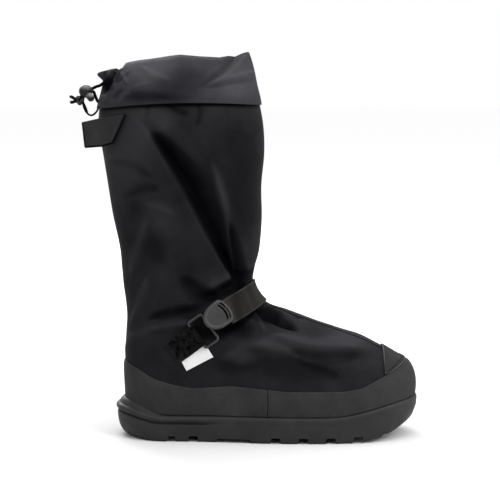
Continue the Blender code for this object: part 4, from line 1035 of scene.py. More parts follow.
# Notches in the tread's sides: their place along it, width and depth
NOTCHES = [(-100, 7, 6), (-77, 9, 6), (8, 9, 6), (36.5, 9, 6), (65, 9, 6), (93.5, 9, 6), (121, 4, 3)]
NOTCH_FLARE, NOTCH_INNER_Y = 1.5, 15
WAIST_FROM, WAIST_TO, WAIST_DEPTH, WAIST_FLARE = -52, -19, 4, 2.5
GROOVE_Y, GROOVE_WIDTH, GROOVE_DEPTH = 26, 5, 5.3
GROOVES = [(-128, -58), (13, 128)]
CUT_REACH, UNDERCUT = 90, 2
GROOVE_LOOPS, CUP_SHARES = 13, (0, 0.5, 1)
# The ledge inside the sole's rim: shares of the way to the cup, and of the rise at the heel
LEDGE, LEDGE_RISE = [(0.2, 0.55), (0.45, 0.9), (0.7, 1.0), (0.9, 0.8)], 5.5
# Angles, in degrees, from which edges of the moulded pieces are sharp
SOLE_SHARP, PLATE_SHARP, LOCK_SHARP = 32, 40, 50


def sole_edge(turn, inset):
    """Points of the sole's outline, moved inwards, with z left at 0."""
    def at(place):
        along = along_of(place)
        x = SOLE_PLAN.back_x + (SOLE_PLAN.front_x - SOLE_PLAN.back_x) * along
        y = centre_y(x) + side_of(place) * half_width(SOLE_PLAN, along)
        return np.stack([x, y, np.zeros_like(x)], -1)

    turn = np.asarray(turn, float)
    run = unit(at(turn + TURN_STEP) - at(turn - TURN_STEP))
    outwards = np.stack([run[..., 1], -run[..., 0], np.zeros_like(turn)], -1)
    return at(turn) - outwards * np.asarray(inset)[..., None]


def sole_ring(ring, turns):
    x = sole_edge(turns, 0)[..., 0]
    bead = 1 - ease((x - BEAD_FADE_FROM) / BEAD_FADE_RUN)
    heel = ease((HEEL_CURVE_FROM - x) / HEEL_CURVE_RUN)
    toe = ease((x - TOE_CURVE_FROM) / TOE_CURVE_RUN)
    inset = ring.inset + ring.bead_inset * bead + ring.heel_inset * heel + ring.toe_inset * toe
    points = sole_edge(turns, inset)
    base = rim_height(x) if ring.from_rim else toe_spring(x)
    points[..., 2] = base + ring.rise + ring.heel_rise * heel + ring.toe_rise * toe
    return points


def cup_ring(share, turns):
    """A ring of the cup's inner side, clear of the upper: share 0 is the rim and 1 is the floor."""
    rim = rim_height(sole_edge(turns, 0)[..., 0])
    level = UPPER.level_where(turns, lambda points: points[..., 2] < rim) * (1 - share)
    points, _ = UPPER.grown(turns, level, GAP, creased=False)
    if share == 1:
        points[..., 2] = FLOOR_THICKNESS + toe_spring(points[..., 0])
    return points


def across_faces(first, around):
    """Faces that close a ring, each between the outer side and the inner side at the same length."""
    half = around // 2
    faces = [(first, first + 1, first + around - 1)]
    for step in range(1, half - 1):
        faces.append((first + step, first + step + 1, first + around - step - 1, first + around - step))
    faces.append((first + half - 1, first + half, first + half + 1))
    return faces


def prism(loops):
    """A closed bar through loops of four corners."""
    points = [corner for loop in loops for corner in loop]
    faces = [*grid_quads(len(loops), 4, closed=True), range(4), range(len(points) - 4, len(points))]
    return points, faces


def cross_cut(x, width, near_y, far_y, depth, flare):
    """A cut across the tread, wider at its mouth."""
    narrow, wide = width / 2, width / 2 + flare
    corners = ((x - wide, -UNDERCUT), (x + wide, -UNDERCUT), (x + narrow, depth), (x - narrow, depth))
    return [[(along, y, toe_spring(along) + height) for along, height in corners] for y in (near_y, far_y)]


def long_cut(start, end, side):
    """A groove along the tread."""
    loops = []
    half = GROOVE_WIDTH / 2
    corners = ((-half, -UNDERCUT), (half, -UNDERCUT), (half, GROOVE_DEPTH), (-half, GROOVE_DEPTH))
    for x in np.linspace(start, end, GROOVE_LOOPS):
        middle = centre_y(x) + side * GROOVE_Y
        loops.append([(x, middle + edge, toe_spring(x) + height) for edge, height in corners])
    return loops


def tread_cuts():
    bars = []
    for side in (OUTER, INNER):
        for x, width, depth in NOTCHES:
            near, far = (centre_y(x) + side * reach for reach in (NOTCH_INNER_Y, CUT_REACH))
            bars.append(prism(cross_cut(x, width, near, far, depth, NOTCH_FLARE)))
        bars += [prism(long_cut(start, end, side)) for start, end in GROOVES]
    middle, width = (WAIST_FROM + WAIST_TO) / 2, WAIST_TO - WAIST_FROM
    bars.append(prism(cross_cut(middle, width, -CUT_REACH, CUT_REACH, WAIST_DEPTH, WAIST_FLARE)))
    return join(bars)


def closed_mesh(name, points, faces):
    """A mesh of points in millimetres with its faces turned out."""
    mesh = new_mesh(name, points, faces)
    shape = bmesh.new()
    shape.from_mesh(mesh)
    bmesh.ops.recalc_face_normals(shape, faces=shape.faces)
    shape.to_mesh(mesh)
    shape.free()
    return mesh


def cut_mesh(name, mesh, cutter):
    """The mesh with a cutter taken away."""
    body = bpy.data.objects.new(name, mesh)
    tool = bpy.data.objects.new(f"{name} cutter", cutter)
    for item in (body, tool):
        bpy.context.scene.collection.objects.link(item)
    cut = body.modifiers.new("cut", "BOOLEAN")
    cut.object = tool
    cut.use_self = True
    graph = bpy.context.evaluated_depsgraph_get()
    made = bpy.data.meshes.new_from_object(body.evaluated_get(graph))
    bpy.data.objects.remove(body)
    bpy.data.objects.remove(tool)
    return made


def add_made(name, mesh, material, sharp, body=BODY):
    """A ready mesh as a piece on a body, with its edges sharp from an angle on."""
    mesh.shade_smooth()
    mesh.set_sharp_from_angle(angle=math.radians(sharp))
    return add_piece(name, mesh, material, body)


def add_outsole():
    turns = ring_turns(SOLE_AROUND)
    key_rings = np.array([sole_ring(ring, turns) for ring in SOLE_RINGS])
    places = np.linspace(0, len(key_rings) - 1, (len(key_rings) - 1) * SOLE_PARTS + 1)
    outer = curve_through(key_rings.reshape(len(key_rings), -1), places).reshape(len(places), SOLE_AROUND, 3)
    cup = np.array([cup_ring(share, turns) for share in CUP_SHARES])
    rim = outer[-1]
    heel = ease((HEEL_CURVE_FROM - rim[:, 0]) / HEEL_CURVE_RUN)[:, None]
    ledge = [rim + (cup[0] - rim) * share + heel * [0, 0, LEDGE_RISE * rise] for share, rise in LEDGE]
    rings = np.concatenate([outer, ledge, cup])
    faces = [*grid_quads(len(rings), SOLE_AROUND, closed=True)]
    faces += across_faces(0, SOLE_AROUND) + across_faces((len(rings) - 1) * SOLE_AROUND, SOLE_AROUND)
    whole = closed_mesh("sole", rings.reshape(-1, 3), faces)
    cut = cut_mesh("sole", whole, closed_mesh("tread", *tread_cuts()))
    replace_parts(add_made("outsole_rubber", cut, RUBBER, SOLE_SHARP), "outsole")


# The straps, the buckle and the label

STRAP_SHEET, STRAP_WIDTH, STRAP_ANGLE = Sheet(1.8, 0.8, 50, 0.02, 12, 0.06), 26.5, math.radians(28)
STRAP_FRONT = np.array([-10.5, 152])
STRAP_OUTER_END, STRAP_INNER_END = -36, -62
STRAP_LEVELS = (9.0, 15.0)
STRAP_BOX_NEAR, STRAP_BOX_FAR, STRAP_BOX_LINE = 3, 21, 5
STRAP_TONE, STRAP_EDGE_HIGHLIGHT, STRAP_HIGHLIGHT_WIDTH, STRAP_BUCKLE_PALING, STRAP_BUCKLE_REACH = 0.5, 0.35, 1.6, 0.3, 9
TAPE_WALL, TAPE_WIDTH, TAPE_SLACK, TAPE_BEND_POINTS = 1.4, 24.5, 0.4, 15
TAPE_SHEET = Sheet(TAPE_WALL, 0.6, 30, 0.03, 14, 0.05)
TAPE_HIGHLIGHT_WIDTH, TAPE_END_HIGHLIGHT, TAPE_EDGE_HIGHLIGHT, TAPE_END_FROM, TAPE_SHORTER = 1.5, 0.3, 0.06, 0.8, 2
ANCHOR_ANGLE, ANCHOR_BAR, ANCHOR_LENGTH = math.radians(36), (-73, 111), 33
RING_BAR_RADIUS, RING_LENGTH, RING_WIDTH, RING_CORNER, RING_HEIGHT = 1.3, 17, 32, 3, 3.6
RING_POINTS, RING_SIDES, RING_CORNER_POINTS, RING_WEAR = 120, 16, 8, 0.12
PLATE_CENTRE, PLATE_ANGLE, PLATE_TILT = (-53.6, 130.1), math.radians(36), math.radians(7)
PLATE_LENGTH, PLATE_WIDTH, PLATE_THICKNESS, PLATE_HEIGHT = 27, 27.5, 4.5, 5.4
PLATE_END_BOW, PLATE_NOSE, PLATE_CORNER, PLATE_SQUARENESS = 3.6, 0.64, 2.6, 10
PLATE_MIDDLE, PLATE_NOSE_POINTS, PLATE_END_POINTS = np.array([0.5, 0]), 60, 41
SLOT_WIDTH, SLOT_POINTS, SIDE_STEP = 1.9, 25, 5
# Slots in the plate's end: their place along it, half their length, and their bow
SLOTS = [(0.7, 9.6, 2.0), (-2.5, 9.0, 2.2)]
LABEL_SHEET = Sheet(0.6, 0.5, 40, 0.02, 10, 0.04)
# The label's lower and upper edge, seen from the side, each as x and z
LABEL = np.array([
    (-83.9, 74.1, -89.0, 83.6), (-72.5, 80.2, -78.0, 91.4), (-61.0, 86.4, -67.2, 99.3),
    (-56.1, 89.0, -61.7, 97.8),
])


def side_axes(angle):
    return np.array([math.cos(angle), math.sin(angle)]), np.array([-math.sin(angle), math.cos(angle)])


def on_side(centre, angle, along, across, height):
    """Points and normals over the upper's outer side, in the frame of a strap with this centre and angle."""
    run, cross = side_axes(angle)
    along, across = np.asarray(along, float), np.asarray(across, float)
    x = centre[0] + run[0] * along + cross[0] * across
    z = centre[1] + run[1] * along + cross[1] * across
    return UPPER.grown(*UPPER.locate(x, z), height, creased=False)


# Dents of the webbing: how far along it from the buckle, their lean over its width, their width and depth
STRAP_DENTS = [(9, 0.25, 7, 0.6), (22, -0.1, 8, 0.25), (32, 0.1, 6, 0.3)]


def strap_line(across):
    """Turns and levels of one line of the instep strap, from the buckle over the front to the inner side."""
    run, cross = side_axes(STRAP_ANGLE)
    start = STRAP_FRONT + cross * across

    def front(level):
        row = UPPER.row(level)
        return np.array([row.front_x, row.front_z]) - start

    reach = np.dot(front(bisect(*STRAP_LEVELS, lambda level: np.dot(front(level), cross) < 0)), run)
    turns, levels = [], []
    for end in (STRAP_OUTER_END, STRAP_INNER_END):
        swing = end + (reach - end) * np.sin(STRAP_SHEET.along() * math.pi / 2)
        turn, level = UPPER.locate(start[0] + run[0] * swing, start[1] + run[1] * swing)
        turns.append(turn)
        levels.append(level)
    return np.concatenate([turns[0], (1 - turns[1])[-2::-1]]), np.concatenate([levels[0], levels[1][-2::-1]])


def add_instep_strap():
    lines = [strap_line(across) for across in (STRAP_SHEET.across() - 0.5) * STRAP_WIDTH]
    turns, levels = (np.array(part) for part in zip(*lines))
    points, normals = UPPER.grown(turns, levels, STRAP_SHEET.lift(), creased=False)
    along, down = run_lengths(points, 1), run_lengths(points, 0)
    dent = 0
    for place, lean, width, depth in STRAP_DENTS:
        dent = dent + depth * bump((along - place - lean * down) / width)
    points = points - normals * dent[..., None]
    # A painted highlight along the webbing's edges and painted shade in its dents, over an even tone, and
    # paler near the buckle
    tone_and_painted_light = STRAP_TONE + STRAP_EDGE_HIGHLIGHT * (edge_highlight(points, STRAP_HIGHLIGHT_WIDTH) - dent)
    tone_and_painted_light = np.clip(tone_and_painted_light + STRAP_BUCKLE_PALING * bump(along / STRAP_BUCKLE_REACH), 0, 1)
    made = add_sheet("instep_webbing", STRAP_SHEET, points, normals, WEBBING, "webbing", tone_and_painted_light)
    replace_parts(made, "instep_strap")
    add_strap_stitches(points + normals * STRAP_SHEET.wall / 2, normals)


def add_strap_stitches(points, normals):
    """A box of stitches that holds the strap's inner end."""
    from_end = run_lengths(points, 1)[0]
    from_end = from_end[-1] - from_end
    near, far = np.searchsorted(-from_end, [-STRAP_BOX_NEAR, -STRAP_BOX_FAR])
    top, bottom = STRAP_BOX_LINE, len(points) - 1 - STRAP_BOX_LINE
    rows = []
    for line in (np.s_[top, far:near + 1], np.s_[bottom, far:near + 1], np.s_[top:bottom + 1, far],
                 np.s_[top:bottom + 1, near]):
        rows += stitch_row(points[line], normals[line])
    add_joined("strap_stitches", rows, THREAD, "webbing")


def add_anchor_strap():
    """Fuzzy tape, sewn flat at one end, folded round the ring's bar and laid back on itself."""
    loop = RING_BAR_RADIUS + TAPE_SLACK + TAPE_WALL / 2
    low, high = RING_HEIGHT - loop, RING_HEIGHT + loop
    shares = TAPE_SHEET.along()
    path = [(-ANCHOR_LENGTH * share, low) for share in 1 - shares]
    path += [(loop * math.cos(turn), RING_HEIGHT + loop * math.sin(turn))
             for turn in np.linspace(-math.pi / 2, math.pi / 2, TAPE_BEND_POINTS)[1:]]
    drop = TAPE_WALL + TAPE_SLACK - 2 * loop
    path += [((TAPE_SHORTER - ANCHOR_LENGTH) * share, high + drop * float(ease(share * 2)))
             for share in shares[1:]]
    along, height = np.array(path).T
    across = (TAPE_SHEET.across()[:, None] - 0.5) * TAPE_WIDTH
    points, _ = on_side(ANCHOR_BAR, ANCHOR_ANGLE, along[None] + 0 * across, across, height[None])
    normals = unit(np.cross(np.gradient(points, axis=1), np.gradient(points, axis=0)))
    # A painted highlight along the tape's edges, stronger at its ends away from the ring
    share = np.where(along < -ANCHOR_LENGTH * TAPE_END_FROM, TAPE_END_HIGHLIGHT, TAPE_EDGE_HIGHLIGHT)
    tone_and_painted_light = edge_highlight(points, TAPE_HIGHLIGHT_WIDTH) * share[None]
    made = add_sheet("anchor_tape", TAPE_SHEET, points, normals, TAPE, "tape", tone_and_painted_light)
    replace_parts(made, "anchor_strap")


def add_buckle_ring():
    path = []
    for quarter, (sign_x, sign_y) in enumerate(((1, 1), (-1, 1), (-1, -1), (1, -1))):
        turn = quarter * math.pi / 2 + np.linspace(0, math.pi / 2, RING_CORNER_POINTS)
        along = RING_LENGTH / 2 + sign_x * (RING_LENGTH / 2 - RING_CORNER) + RING_CORNER * np.cos(turn)
        across = sign_y * (RING_WIDTH / 2 - RING_CORNER) + RING_CORNER * np.sin(turn)
        path.append(np.stack([along, across], -1))
    corners = np.concatenate([*path, path[0][:1]])
    far = run_lengths(corners, 0)
    places = np.linspace(0, far[-1], RING_POINTS, endpoint=False)
    along, across = (np.interp(places, far, corners[:, axis]) for axis in (0, 1))
    points, _ = on_side(ANCHOR_BAR, ANCHOR_ANGLE, along, across, RING_HEIGHT)
    made = add_tube("buckle_ring_bar", points, RING_BAR_RADIUS, MOULDED, "moulded", RING_SIDES, cyclic=True)
    set_tone_and_painted_light(made.data, np.full(RING_POINTS * RING_SIDES, RING_WEAR))
    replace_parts(made, "buckle_ring")


def side_matrix(centre, angle, height):
    """A rigid frame on the outer side: x along the strap, z off the upper."""
    (middle, ahead, behind), normals = on_side(centre, angle, [0, SIDE_STEP, -SIDE_STEP], [0, 0, 0], 0)
    run = Vector(ahead - behind).normalized()
    out = Vector(normals[0])
    out = (out - run * out.dot(run)).normalized()
    place = Matrix((run, out.cross(run), out)).transposed().to_4x4()
    place.translation = Vector(middle) + out * height
    return place


def placed(points, matrix):
    """Points in millimetres, moved into a frame."""
    return np.array([matrix @ Vector(point) for point in points])


# How the plate's edge is rounded: how far in from its outline, how high, and how much painted highlight it
# takes
PLATE_RINGS = [
    (1.6, -2.25, 0), (0.5, -2.1, 0), (0.1, -1.5, 0.1), (0.0, -0.4, 0.15), (0.15, 0.5, 0.2), (0.6, 1.3, 0.25),
    (1.3, 1.85, 0.3), (2.2, 2.2, 0.35), (2.8, 2.25, 0.6), (3.2, 2.15, 0.6), (3.5, 1.8, 0.0), (3.9, 1.6, 0),
    (4.8, 1.6, 0.1),
]


def plate_outline():
    points = []
    for step in np.linspace(0, math.pi, PLATE_NOSE_POINTS):
        back = PLATE_CORNER + (PLATE_LENGTH - PLATE_CORNER) * abs(math.sin(step)) ** PLATE_NOSE
        points.append((PLATE_LENGTH / 2 - back, PLATE_WIDTH / 2 * math.cos(step)))
    for across in np.sin(np.linspace(-math.pi / 2, math.pi / 2, PLATE_END_POINTS)[1:-1]):
        reach = PLATE_END_BOW * (1 - across ** 2) - PLATE_CORNER * across ** PLATE_SQUARENESS
        points.append((PLATE_LENGTH / 2 + reach, PLATE_WIDTH / 2 * across))
    return np.array(points)


def slot_cut(place, reach, bow):
    loops, half, deep = [], SLOT_WIDTH / 2, PLATE_THICKNESS
    corners = ((-half, -deep), (half, -deep), (half, deep), (-half, deep))
    for across in np.linspace(-reach, reach, SLOT_POINTS):
        middle = PLATE_LENGTH / 2 + place - bow * (across / reach) ** 2
        loops.append([(middle + along, across, height) for along, height in corners])
    return prism(loops)


def add_buckle_plate():
    outline = plate_outline()
    count = len(outline)
    away = outline - PLATE_MIDDLE
    size = np.linalg.norm(away, axis=1, keepdims=True)
    insets, heights, tone_and_painted_light = zip(*PLATE_RINGS)
    rings = []
    for inset, height in zip(insets, heights):
        flat = PLATE_MIDDLE + away * (1 - inset / size)
        rings.append(np.concatenate([flat, np.full((count, 1), height)], 1))
    ends = [[*PLATE_MIDDLE, heights[end]] for end in (-1, 0)]
    points = np.concatenate([*rings, ends])
    faces = [*grid_quads(len(rings), count, closed=True)]
    last, top = (len(rings) - 1) * count, len(rings) * count
    faces += [(last + step, last + (step + 1) % count, top) for step in range(count)]
    faces += [((step + 1) % count, step, top + 1) for step in range(count)]
    place = side_matrix(PLATE_CENTRE, PLATE_ANGLE, PLATE_HEIGHT + PLATE_THICKNESS / 2)
    place = place @ Matrix.Rotation(PLATE_TILT, 4, "Y")
    mesh = closed_mesh("plate", placed(points, place), faces)
    # The rim's crest takes a painted highlight
    set_tone_and_painted_light(mesh, np.concatenate([np.repeat(tone_and_painted_light, count), [0, 0]]))
    cuts, cut_faces = join([slot_cut(*slot) for slot in SLOTS])
    mesh = cut_mesh("plate", mesh, closed_mesh("slots", placed(cuts, place), cut_faces))
    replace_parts(add_made("buckle_plate_face", mesh, MOULDED, PLATE_SHARP), "buckle_plate")


def between(stations, shares):
    """Grids of two measures, from the low to the high end of each station."""
    low, high = stations[None, :, :2], stations[None, :, 2:]
    return np.moveaxis(low + (high - low) * shares[:, None, None], -1, 0)


def add_label():
    stations = curve_through(LABEL, LABEL_SHEET.along() * (len(LABEL) - 1))
    x, z = between(stations, LABEL_SHEET.across())
    points, normals = UPPER.grown(*UPPER.locate(x, z), LABEL_SHEET.lift(), creased=False)
    made = add_sheet("label_tag", LABEL_SHEET, points, normals, LABEL_CLOTH, "label_cloth")
    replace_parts(made, "label")


# The pull tab: its lower and upper edge, and lines on it for the black tubes of painted shadow along its
# edges and for its stitches, each along it and up

TAB_ROOT, TAB_WALL, TAB_STANDOFF = (-152, 324), 2.2, 1.5
TAB = np.array([(5.4, -14.4, -11.8, 15), (19, -18, 22, 10.5), (42, -20, 45.5, 6)])
TAB_SHEET = Sheet(TAB_WALL, 0.7, 40, 0.02, 20, 0.03)
TAB_SHADOW_LINES = [
    [(45.2, 5.6), (41.8, -19.6)], [(41.8, -19.8), (19, -17.8), (5.6, -14.2)], [(5.6, -14.0), (-11.4, 14.7)],
]
TAB_STITCHES = [[(24, 8), (42.5, 3.8), (39.6, -17)], [(12.5, -12), (-1, 12)]]
TAB_SHADOW_LINE_RADIUS, TAB_SHADOW_LINE_LIFT, TAB_SHADOW_LINE_SIDES = 1.0, 0.3, 8
TAB_KNOT, TAB_KNOT_SIZE = (-11, 13.6), (3.6, 2.8, 1.2)
UP = np.array([0, 0, 1])


def add_pull_tab():
    turn, level = UPPER.locate(*TAB_ROOT)
    root = UPPER.grown(turn, level, TAB_STANDOFF + TAB_WALL / 2, creased=False)[0]
    run = UPPER.taut(turn - TURN_STEP, level) - UPPER.taut(turn + TURN_STEP, level)
    run = unit(run * [1, 1, 0])
    out = np.array([run[1], -run[0], 0])
    out = out if np.dot(out, UPPER.normal(turn, level)) > 0 else -out

    def on_tab(along, up, lift):
        return root + run * np.asarray(along)[..., None] + UP * np.asarray(up)[..., None] + out * lift

    places = TAB_SHEET.along() * (len(TAB) - 1)
    stations = np.stack([np.interp(places, np.arange(len(TAB)), TAB[:, column]) for column in range(4)], -1)
    points = on_tab(*between(stations, TAB_SHEET.across()), 0)
    normals = np.broadcast_to(out, points.shape)
    made = add_sheet("pull_tab_tape", TAB_SHEET, points, normals, TAB_TAPE, "tape")
    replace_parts(made, "pull_tab")
    parts = []
    # Black tubes along the tab's edges are painted shadow lines; a dark knot of the same black sits at the
    # top of the slanted end
    for line in TAB_SHADOW_LINES:
        route = on_tab(*np.array(line).T, TAB_WALL * TAB_SHADOW_LINE_LIFT)
        parts.append(tube(route, TAB_SHADOW_LINE_RADIUS, TAB_SHADOW_LINE_SIDES)[:2])
    parts.append(stitch(on_tab(*TAB_KNOT, TAB_WALL / 2), run + UP, out, *TAB_KNOT_SIZE))
    add_joined("pull_tab_shadow_lines", parts, BLACK_SEAM_AND_SHADOW, "tape")
    rows = []
    for line in TAB_STITCHES:
        route = on_tab(*np.array(line).T, TAB_WALL / 2)
        rows += stitch_row(route, np.broadcast_to(out, route.shape))
    add_joined("pull_tab_stitches", rows, THREAD, "tape")


# The cord lock, the drawcord and the tether

CORD_RADIUS, TETHER_RADIUS = 1.6, 1.0
LOCK_CENTRE = Vector((-188, -12, 361.5))
LOCK_RADIUS = 7
BUTTON_AXIS = Vector((0.56, -0.42, -0.71)).normalized()
BUTTON_RADIUS, BUTTON_STEM, BUTTON_HEAD, BUTTON_TRAVEL = 3.7, 4.5, 6.6, 4
BORE_GAP, BORE_END_GAP, LIP_DEPTH, LIP_SLANT, LIP_TURN, BUTTON_BEVEL = 0.3, 0.8, 0.5, 0.15, 0.06, 0.3
BALL_POINTS, BUTTON_POINTS, LOCK_STEPS, LOCK_HIGHLIGHT = 40, 20, 64, 0.8
KNOT_CENTRE, KNOT_DEPTH, KNOT_HEIGHT = np.array([-194.2, -12.6, 352.4]), 1.3, 1.35
SLEEVE_RADIUS, SLEEVE_FROM, SLEEVE_TO, SLEEVE_BLUNT = 1.8, 10, 26, 0.15
ROUTE_PARTS, CORD_SIDES, TETHER_SIDES, SLEEVE_SIDES, KNOT_SIDES, KNOT_POINTS = 6, 14, 10, 12, 12, 120
UPPER_WAY, LOWER_WAY = (0.86, 0.36, 0.34), (0.82, 0.56, -0.08)


def off_lock(direction, reach):
    return tuple(LOCK_CENTRE + Vector(direction).normalized() * (LOCK_RADIUS + reach))


UPPER_CORD = [
    (-163.5, -12, 375), (-168, -14.2, 371), (-173, -12, 367.4), (-177.4, -9.4, 366), off_lock(UPPER_WAY, 2),
    off_lock(UPPER_WAY, -3), (-188.4, -11.2, 361), (-192.4, -11.6, 356.4), (-196, -11.4, 352.9),
    (-199.4, -12, 353.6), (-201.6, -12, 355), (-204, -12, 356),
]
LOWER_CORD = [
    (-171, -4, 347.5), (-176, -4, 350.4), (-178.8, -5, 356.4), off_lock(LOWER_WAY, 2),
    off_lock(LOWER_WAY, -3), (-188.6, -13.6, 360.2), (-192.2, -14, 355.2), (-195.6, -13.4, 351.4),
    (-199.6, -12, 350.8), (-201.8, -12, 350.0), (-203.8, -12, 350.2),
]
TETHER = [
    (-188.4, -12, 360.4), (-190, -12, 355), (-190.6, -12, 349.4), (-188.6, -12.6, 343.6),
    (-186.4, -13, 338.8), (-183.6, -13, 336.8), (-180.4, -12.8, 337.2), (-176.6, -13.4, 340.8),
    (-173.6, -15.4, 346.5),
]


def turned(profile):
    """A solid turned about z, from a profile of radius and height that starts and ends on the axis."""
    steps = LOCK_STEPS
    inner = profile[1:-1]
    points, count = [], len(inner)
    for radius, height in inner:
        points += [(radius * math.cos(turn), radius * math.sin(turn), height)
                   for turn in np.linspace(0, 2 * math.pi, steps, endpoint=False)]
    faces = [*grid_quads(count, steps, closed=True)]
    points += [(0, 0, profile[0][1]), (0, 0, profile[-1][1])]
    first, last = count * steps, (count - 1) * steps
    faces += [(first, (step + 1) % steps, step) for step in range(steps)]
    faces += [(last + step, last + (step + 1) % steps, first + 1) for step in range(steps)]
    return points, faces


def add_turned(name, profile, place, middle, radius, body=BODY):
    """A turned piece of the lock, with a painted highlight that grows over its upper half."""
    points, faces = turned(profile)
    mesh = closed_mesh(name, placed(points, place), faces)
    height = np.array([point.co.z for point in mesh.vertices]) / MM
    set_tone_and_painted_light(mesh, LOCK_HIGHLIGHT * ease((height - middle) / radius))
    return add_made(name, mesh, LOCK_PLASTIC, LOCK_SHARP, body)


def add_cord_lock():
    place = BUTTON_AXIS.to_track_quat("Z", "Y").to_matrix().to_4x4()
    place.translation = LOCK_CENTRE
    bore = BUTTON_RADIUS + BORE_GAP
    mouth = math.asin(bore / LOCK_RADIUS)
    bore_floor = LOCK_RADIUS - BUTTON_STEM - BUTTON_TRAVEL - BORE_END_GAP
    lip = LOCK_RADIUS * math.cos(mouth)
    body = [(0, bore_floor), (bore, bore_floor), (bore, lip - LIP_DEPTH), (bore + LIP_SLANT, lip - LIP_SLANT)]
    body += [(LOCK_RADIUS * math.sin(turn), LOCK_RADIUS * math.cos(turn))
             for turn in np.linspace(mouth + LIP_TURN, math.pi, BALL_POINTS)[:-1]]
    body.append((0, -LOCK_RADIUS))
    made = add_turned("cord_lock_ball", body, place, LOCK_CENTRE.z, LOCK_RADIUS)
    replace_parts(made, "cord_lock_body")
    top = LOCK_RADIUS + BUTTON_HEAD - BUTTON_RADIUS
    button = [(BUTTON_RADIUS * math.sin(turn), top + BUTTON_RADIUS * math.cos(turn))
              for turn in np.linspace(0, math.pi / 2, BUTTON_POINTS)]
    foot = LOCK_RADIUS - BUTTON_STEM
    button += [(BUTTON_RADIUS, foot + BUTTON_BEVEL), (BUTTON_RADIUS - BUTTON_BEVEL, foot), (0, foot)]
    middle = (LOCK_CENTRE + BUTTON_AXIS * top).z
    pressed = add_turned("cord_lock_button_cap", button, place, middle, BUTTON_RADIUS, body="button")
    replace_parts(pressed, "cord_lock_button")
    return made, pressed


def add_knot():
    """A tight overhand knot."""
    turn = np.linspace(0, 2 * np.pi, KNOT_POINTS, endpoint=False)
    x, y = np.sin(turn) + 2 * np.sin(2 * turn), -np.sin(3 * turn) * KNOT_DEPTH
    z = KNOT_HEIGHT * (np.cos(turn) - 2 * np.cos(2 * turn))
    path = KNOT_CENTRE + np.stack([x, y, z], -1)
    # The knot's cord is painted paler than the drawcord: a painted highlight
    made = add_tube("drawcord_knot_cord", path, CORD_RADIUS, HIGHLIT_KNOT_CORD, "cord", KNOT_SIDES, cyclic=True)
    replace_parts(made, "drawcord_knot")
    return made


FRAY_COUNT, FRAY_LENGTH, FRAY_SPREAD, FRAY_SIDES = 26, 1.3, 0.4, 4
FRAY_RADII = np.array([0.14, 0.14, 0.14 / 3])
FRAY_BACK, FRAY_ROOT_SPREAD, FRAY_BEND, FRAY_SHORTEST, FRAY_SEED = 0.8, 0.5, 0.3, 0.5, 7


def fray(end, way, chance):
    """Loose fibres at a cut end of the cord."""
    parts = []
    for _ in range(FRAY_COUNT):
        lean = chance.normal(0, FRAY_SPREAD, 3)
        start = end - way * FRAY_BACK + chance.normal(0, FRAY_ROOT_SPREAD, 3)
        tip = start + (way + lean) * FRAY_LENGTH * chance.uniform(FRAY_SHORTEST, 1)
        middle = (start + tip) / 2 + chance.normal(0, FRAY_BEND, 3)
        parts.append(tube([start, middle, tip], FRAY_RADII, FRAY_SIDES)[:2])
    return parts


def add_cord(name, route, radius, sides, *nodes):
    """A cord along a route: its piece, the points on its line and its length in metres."""
    line = smooth_route(route, ROUTE_PARTS)
    made = add_tube(name, line, radius, CORD, "cord", sides)
    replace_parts(made, *nodes)
    return made, line, run_lengths(line, 0)[-1] * MM


def add_cords():
    lock, button = add_cord_lock()
    knot = add_knot()
    chance = np.random.default_rng(FRAY_SEED)
    frays = []
    for name, route, nodes, pieces in (
        ("drawcord_end_upper", UPPER_CORD, ("drawcord_upper", "drawcord_tail_upper"), [lock, knot, button]),
        ("drawcord_end_lower", LOWER_CORD, ("drawcord_lower", "drawcord_tail_lower"), []),
    ):
        made, line, length = add_cord(name, route, CORD_RADIUS, CORD_SIDES, *nodes)
        frays += fray(line[-1], unit(line[-1] - line[-2]), chance)
    add_joined("drawcord_frays", frays, CORD, "cord")
    made, line, length = add_cord("tether_cord", TETHER, TETHER_RADIUS, TETHER_SIDES, "tether")
    sleeve = line[SLEEVE_FROM:SLEEVE_TO]
    swell = np.sin(np.linspace(SLEEVE_BLUNT, math.pi - SLEEVE_BLUNT, len(sleeve)))
    cover = add_tube("tether_sleeve", sleeve, SLEEVE_RADIUS * np.sqrt(swell), CORD, "cord", SLEEVE_SIDES)


# The studio

FLOOR_FADE, FLOOR_STOPS, FLOOR_GREYS = 3.0, (0.0, 0.75), (0.98, 0.55)
FLOOR_ROUGHNESS, FLOOR_SPECULAR = 0.9, 0.1
FLOOR = [(-12, -12, 0), (12, -12, 0), (12, 12, 0), (-12, 12, 0)]
# Soft lamps: their name, place, target, size and power
LAMPS = [
    ("top softbox", (0.1, -0.1, 1.9), (0, 0, 0.15), 1.6, 30),
    ("toe softbox", (1.3, -1.2, 1.5), (0, 0, 0.2), 1.0, 28),
    ("end softbox", (1.9, -0.2, 0.6), (0, 0, 0.1), 0.8, 10),
    ("inner softbox", (-0.6, 1.8, 1.2), (0, 0, 0.2), 1.2, 40),
]


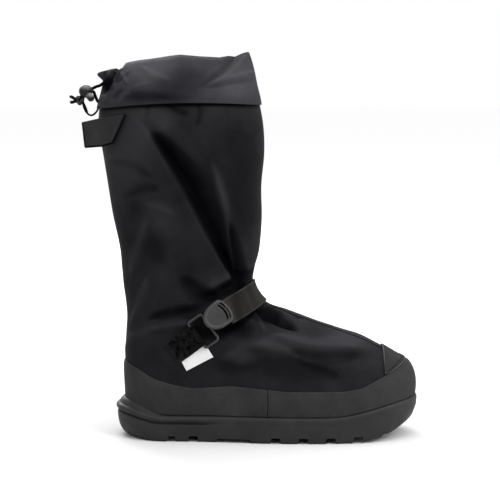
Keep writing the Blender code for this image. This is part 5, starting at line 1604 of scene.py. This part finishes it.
def add_camera():
    camera = bpy.data.objects.new("camera", bpy.data.cameras.new("camera"))
    camera.location = CAMERA_PLACE
    camera.rotation_euler = (math.pi / 2 - CAMERA_PITCH, 0, 0)
    camera.data.lens = CAMERA_LENS
    camera.data.sensor_width = CAMERA_SENSOR
    bpy.context.scene.collection.objects.link(camera)
    bpy.context.scene.camera = camera


def add_light(name, place, target, size, power):
    lamp = bpy.data.lights.new(name, "AREA")
    lamp.shape = "SQUARE"
    lamp.size = size
    lamp.energy = power
    made = bpy.data.objects.new(name, lamp)
    made.location = place
    made.rotation_euler = (Vector(target) - Vector(place)).to_track_quat("-Z", "Y").to_euler()
    bpy.context.scene.collection.objects.link(made)


def add_studio():
    material, tree = new_tree("floor")
    mapping = add_node(tree, "ShaderNodeMapping", Vector=object_place(tree))
    mapping.inputs["Scale"].default_value = (1 / FLOOR_FADE, 1 / FLOOR_FADE, 1)
    near = add_node(tree, "ShaderNodeTexGradient", Vector=mapping.outputs["Vector"])
    near.gradient_type = "SPHERICAL"
    shader = tree.nodes["Principled BSDF"]
    colour = ramp(tree, near.outputs["Fac"], FLOOR_STOPS, FLOOR_GREYS)
    tree.links.new(colour, shader.inputs["Base Color"])
    shader.inputs["Roughness"].default_value = FLOOR_ROUGHNESS
    shader.inputs["Specular IOR Level"].default_value = FLOOR_SPECULAR
    mesh = bpy.data.meshes.new("floor")
    mesh.from_pydata(FLOOR, [], [(0, 1, 2, 3)])
    mesh.materials.append(material)
    floor = bpy.data.objects.new("floor", mesh)
    bpy.context.scene.collection.objects.link(floor)
    world = bpy.data.worlds.new("studio")
    world.use_nodes = True
    sky = world.node_tree.nodes["Background"]
    sky.inputs["Color"].default_value = (1, 1, 1, 1)
    sky.inputs["Strength"].default_value = 1.0
    bpy.context.scene.world = world
    for lamp in LAMPS:
        add_light(*lamp)


bpy.context.scene.view_settings.view_transform = "Standard"
add_camera()
add_cords()
add_studio()
add_upper()
add_gusset_seams()
add_collar()
add_rands()
add_toe_cap()
add_outsole()
add_instep_strap()
add_anchor_strap()
add_buckle_ring()
add_buckle_plate()
add_label()
add_pull_tab()
insole = bpy.data.objects["insole"].data.materials
insole.clear()
insole.append(BOARD)
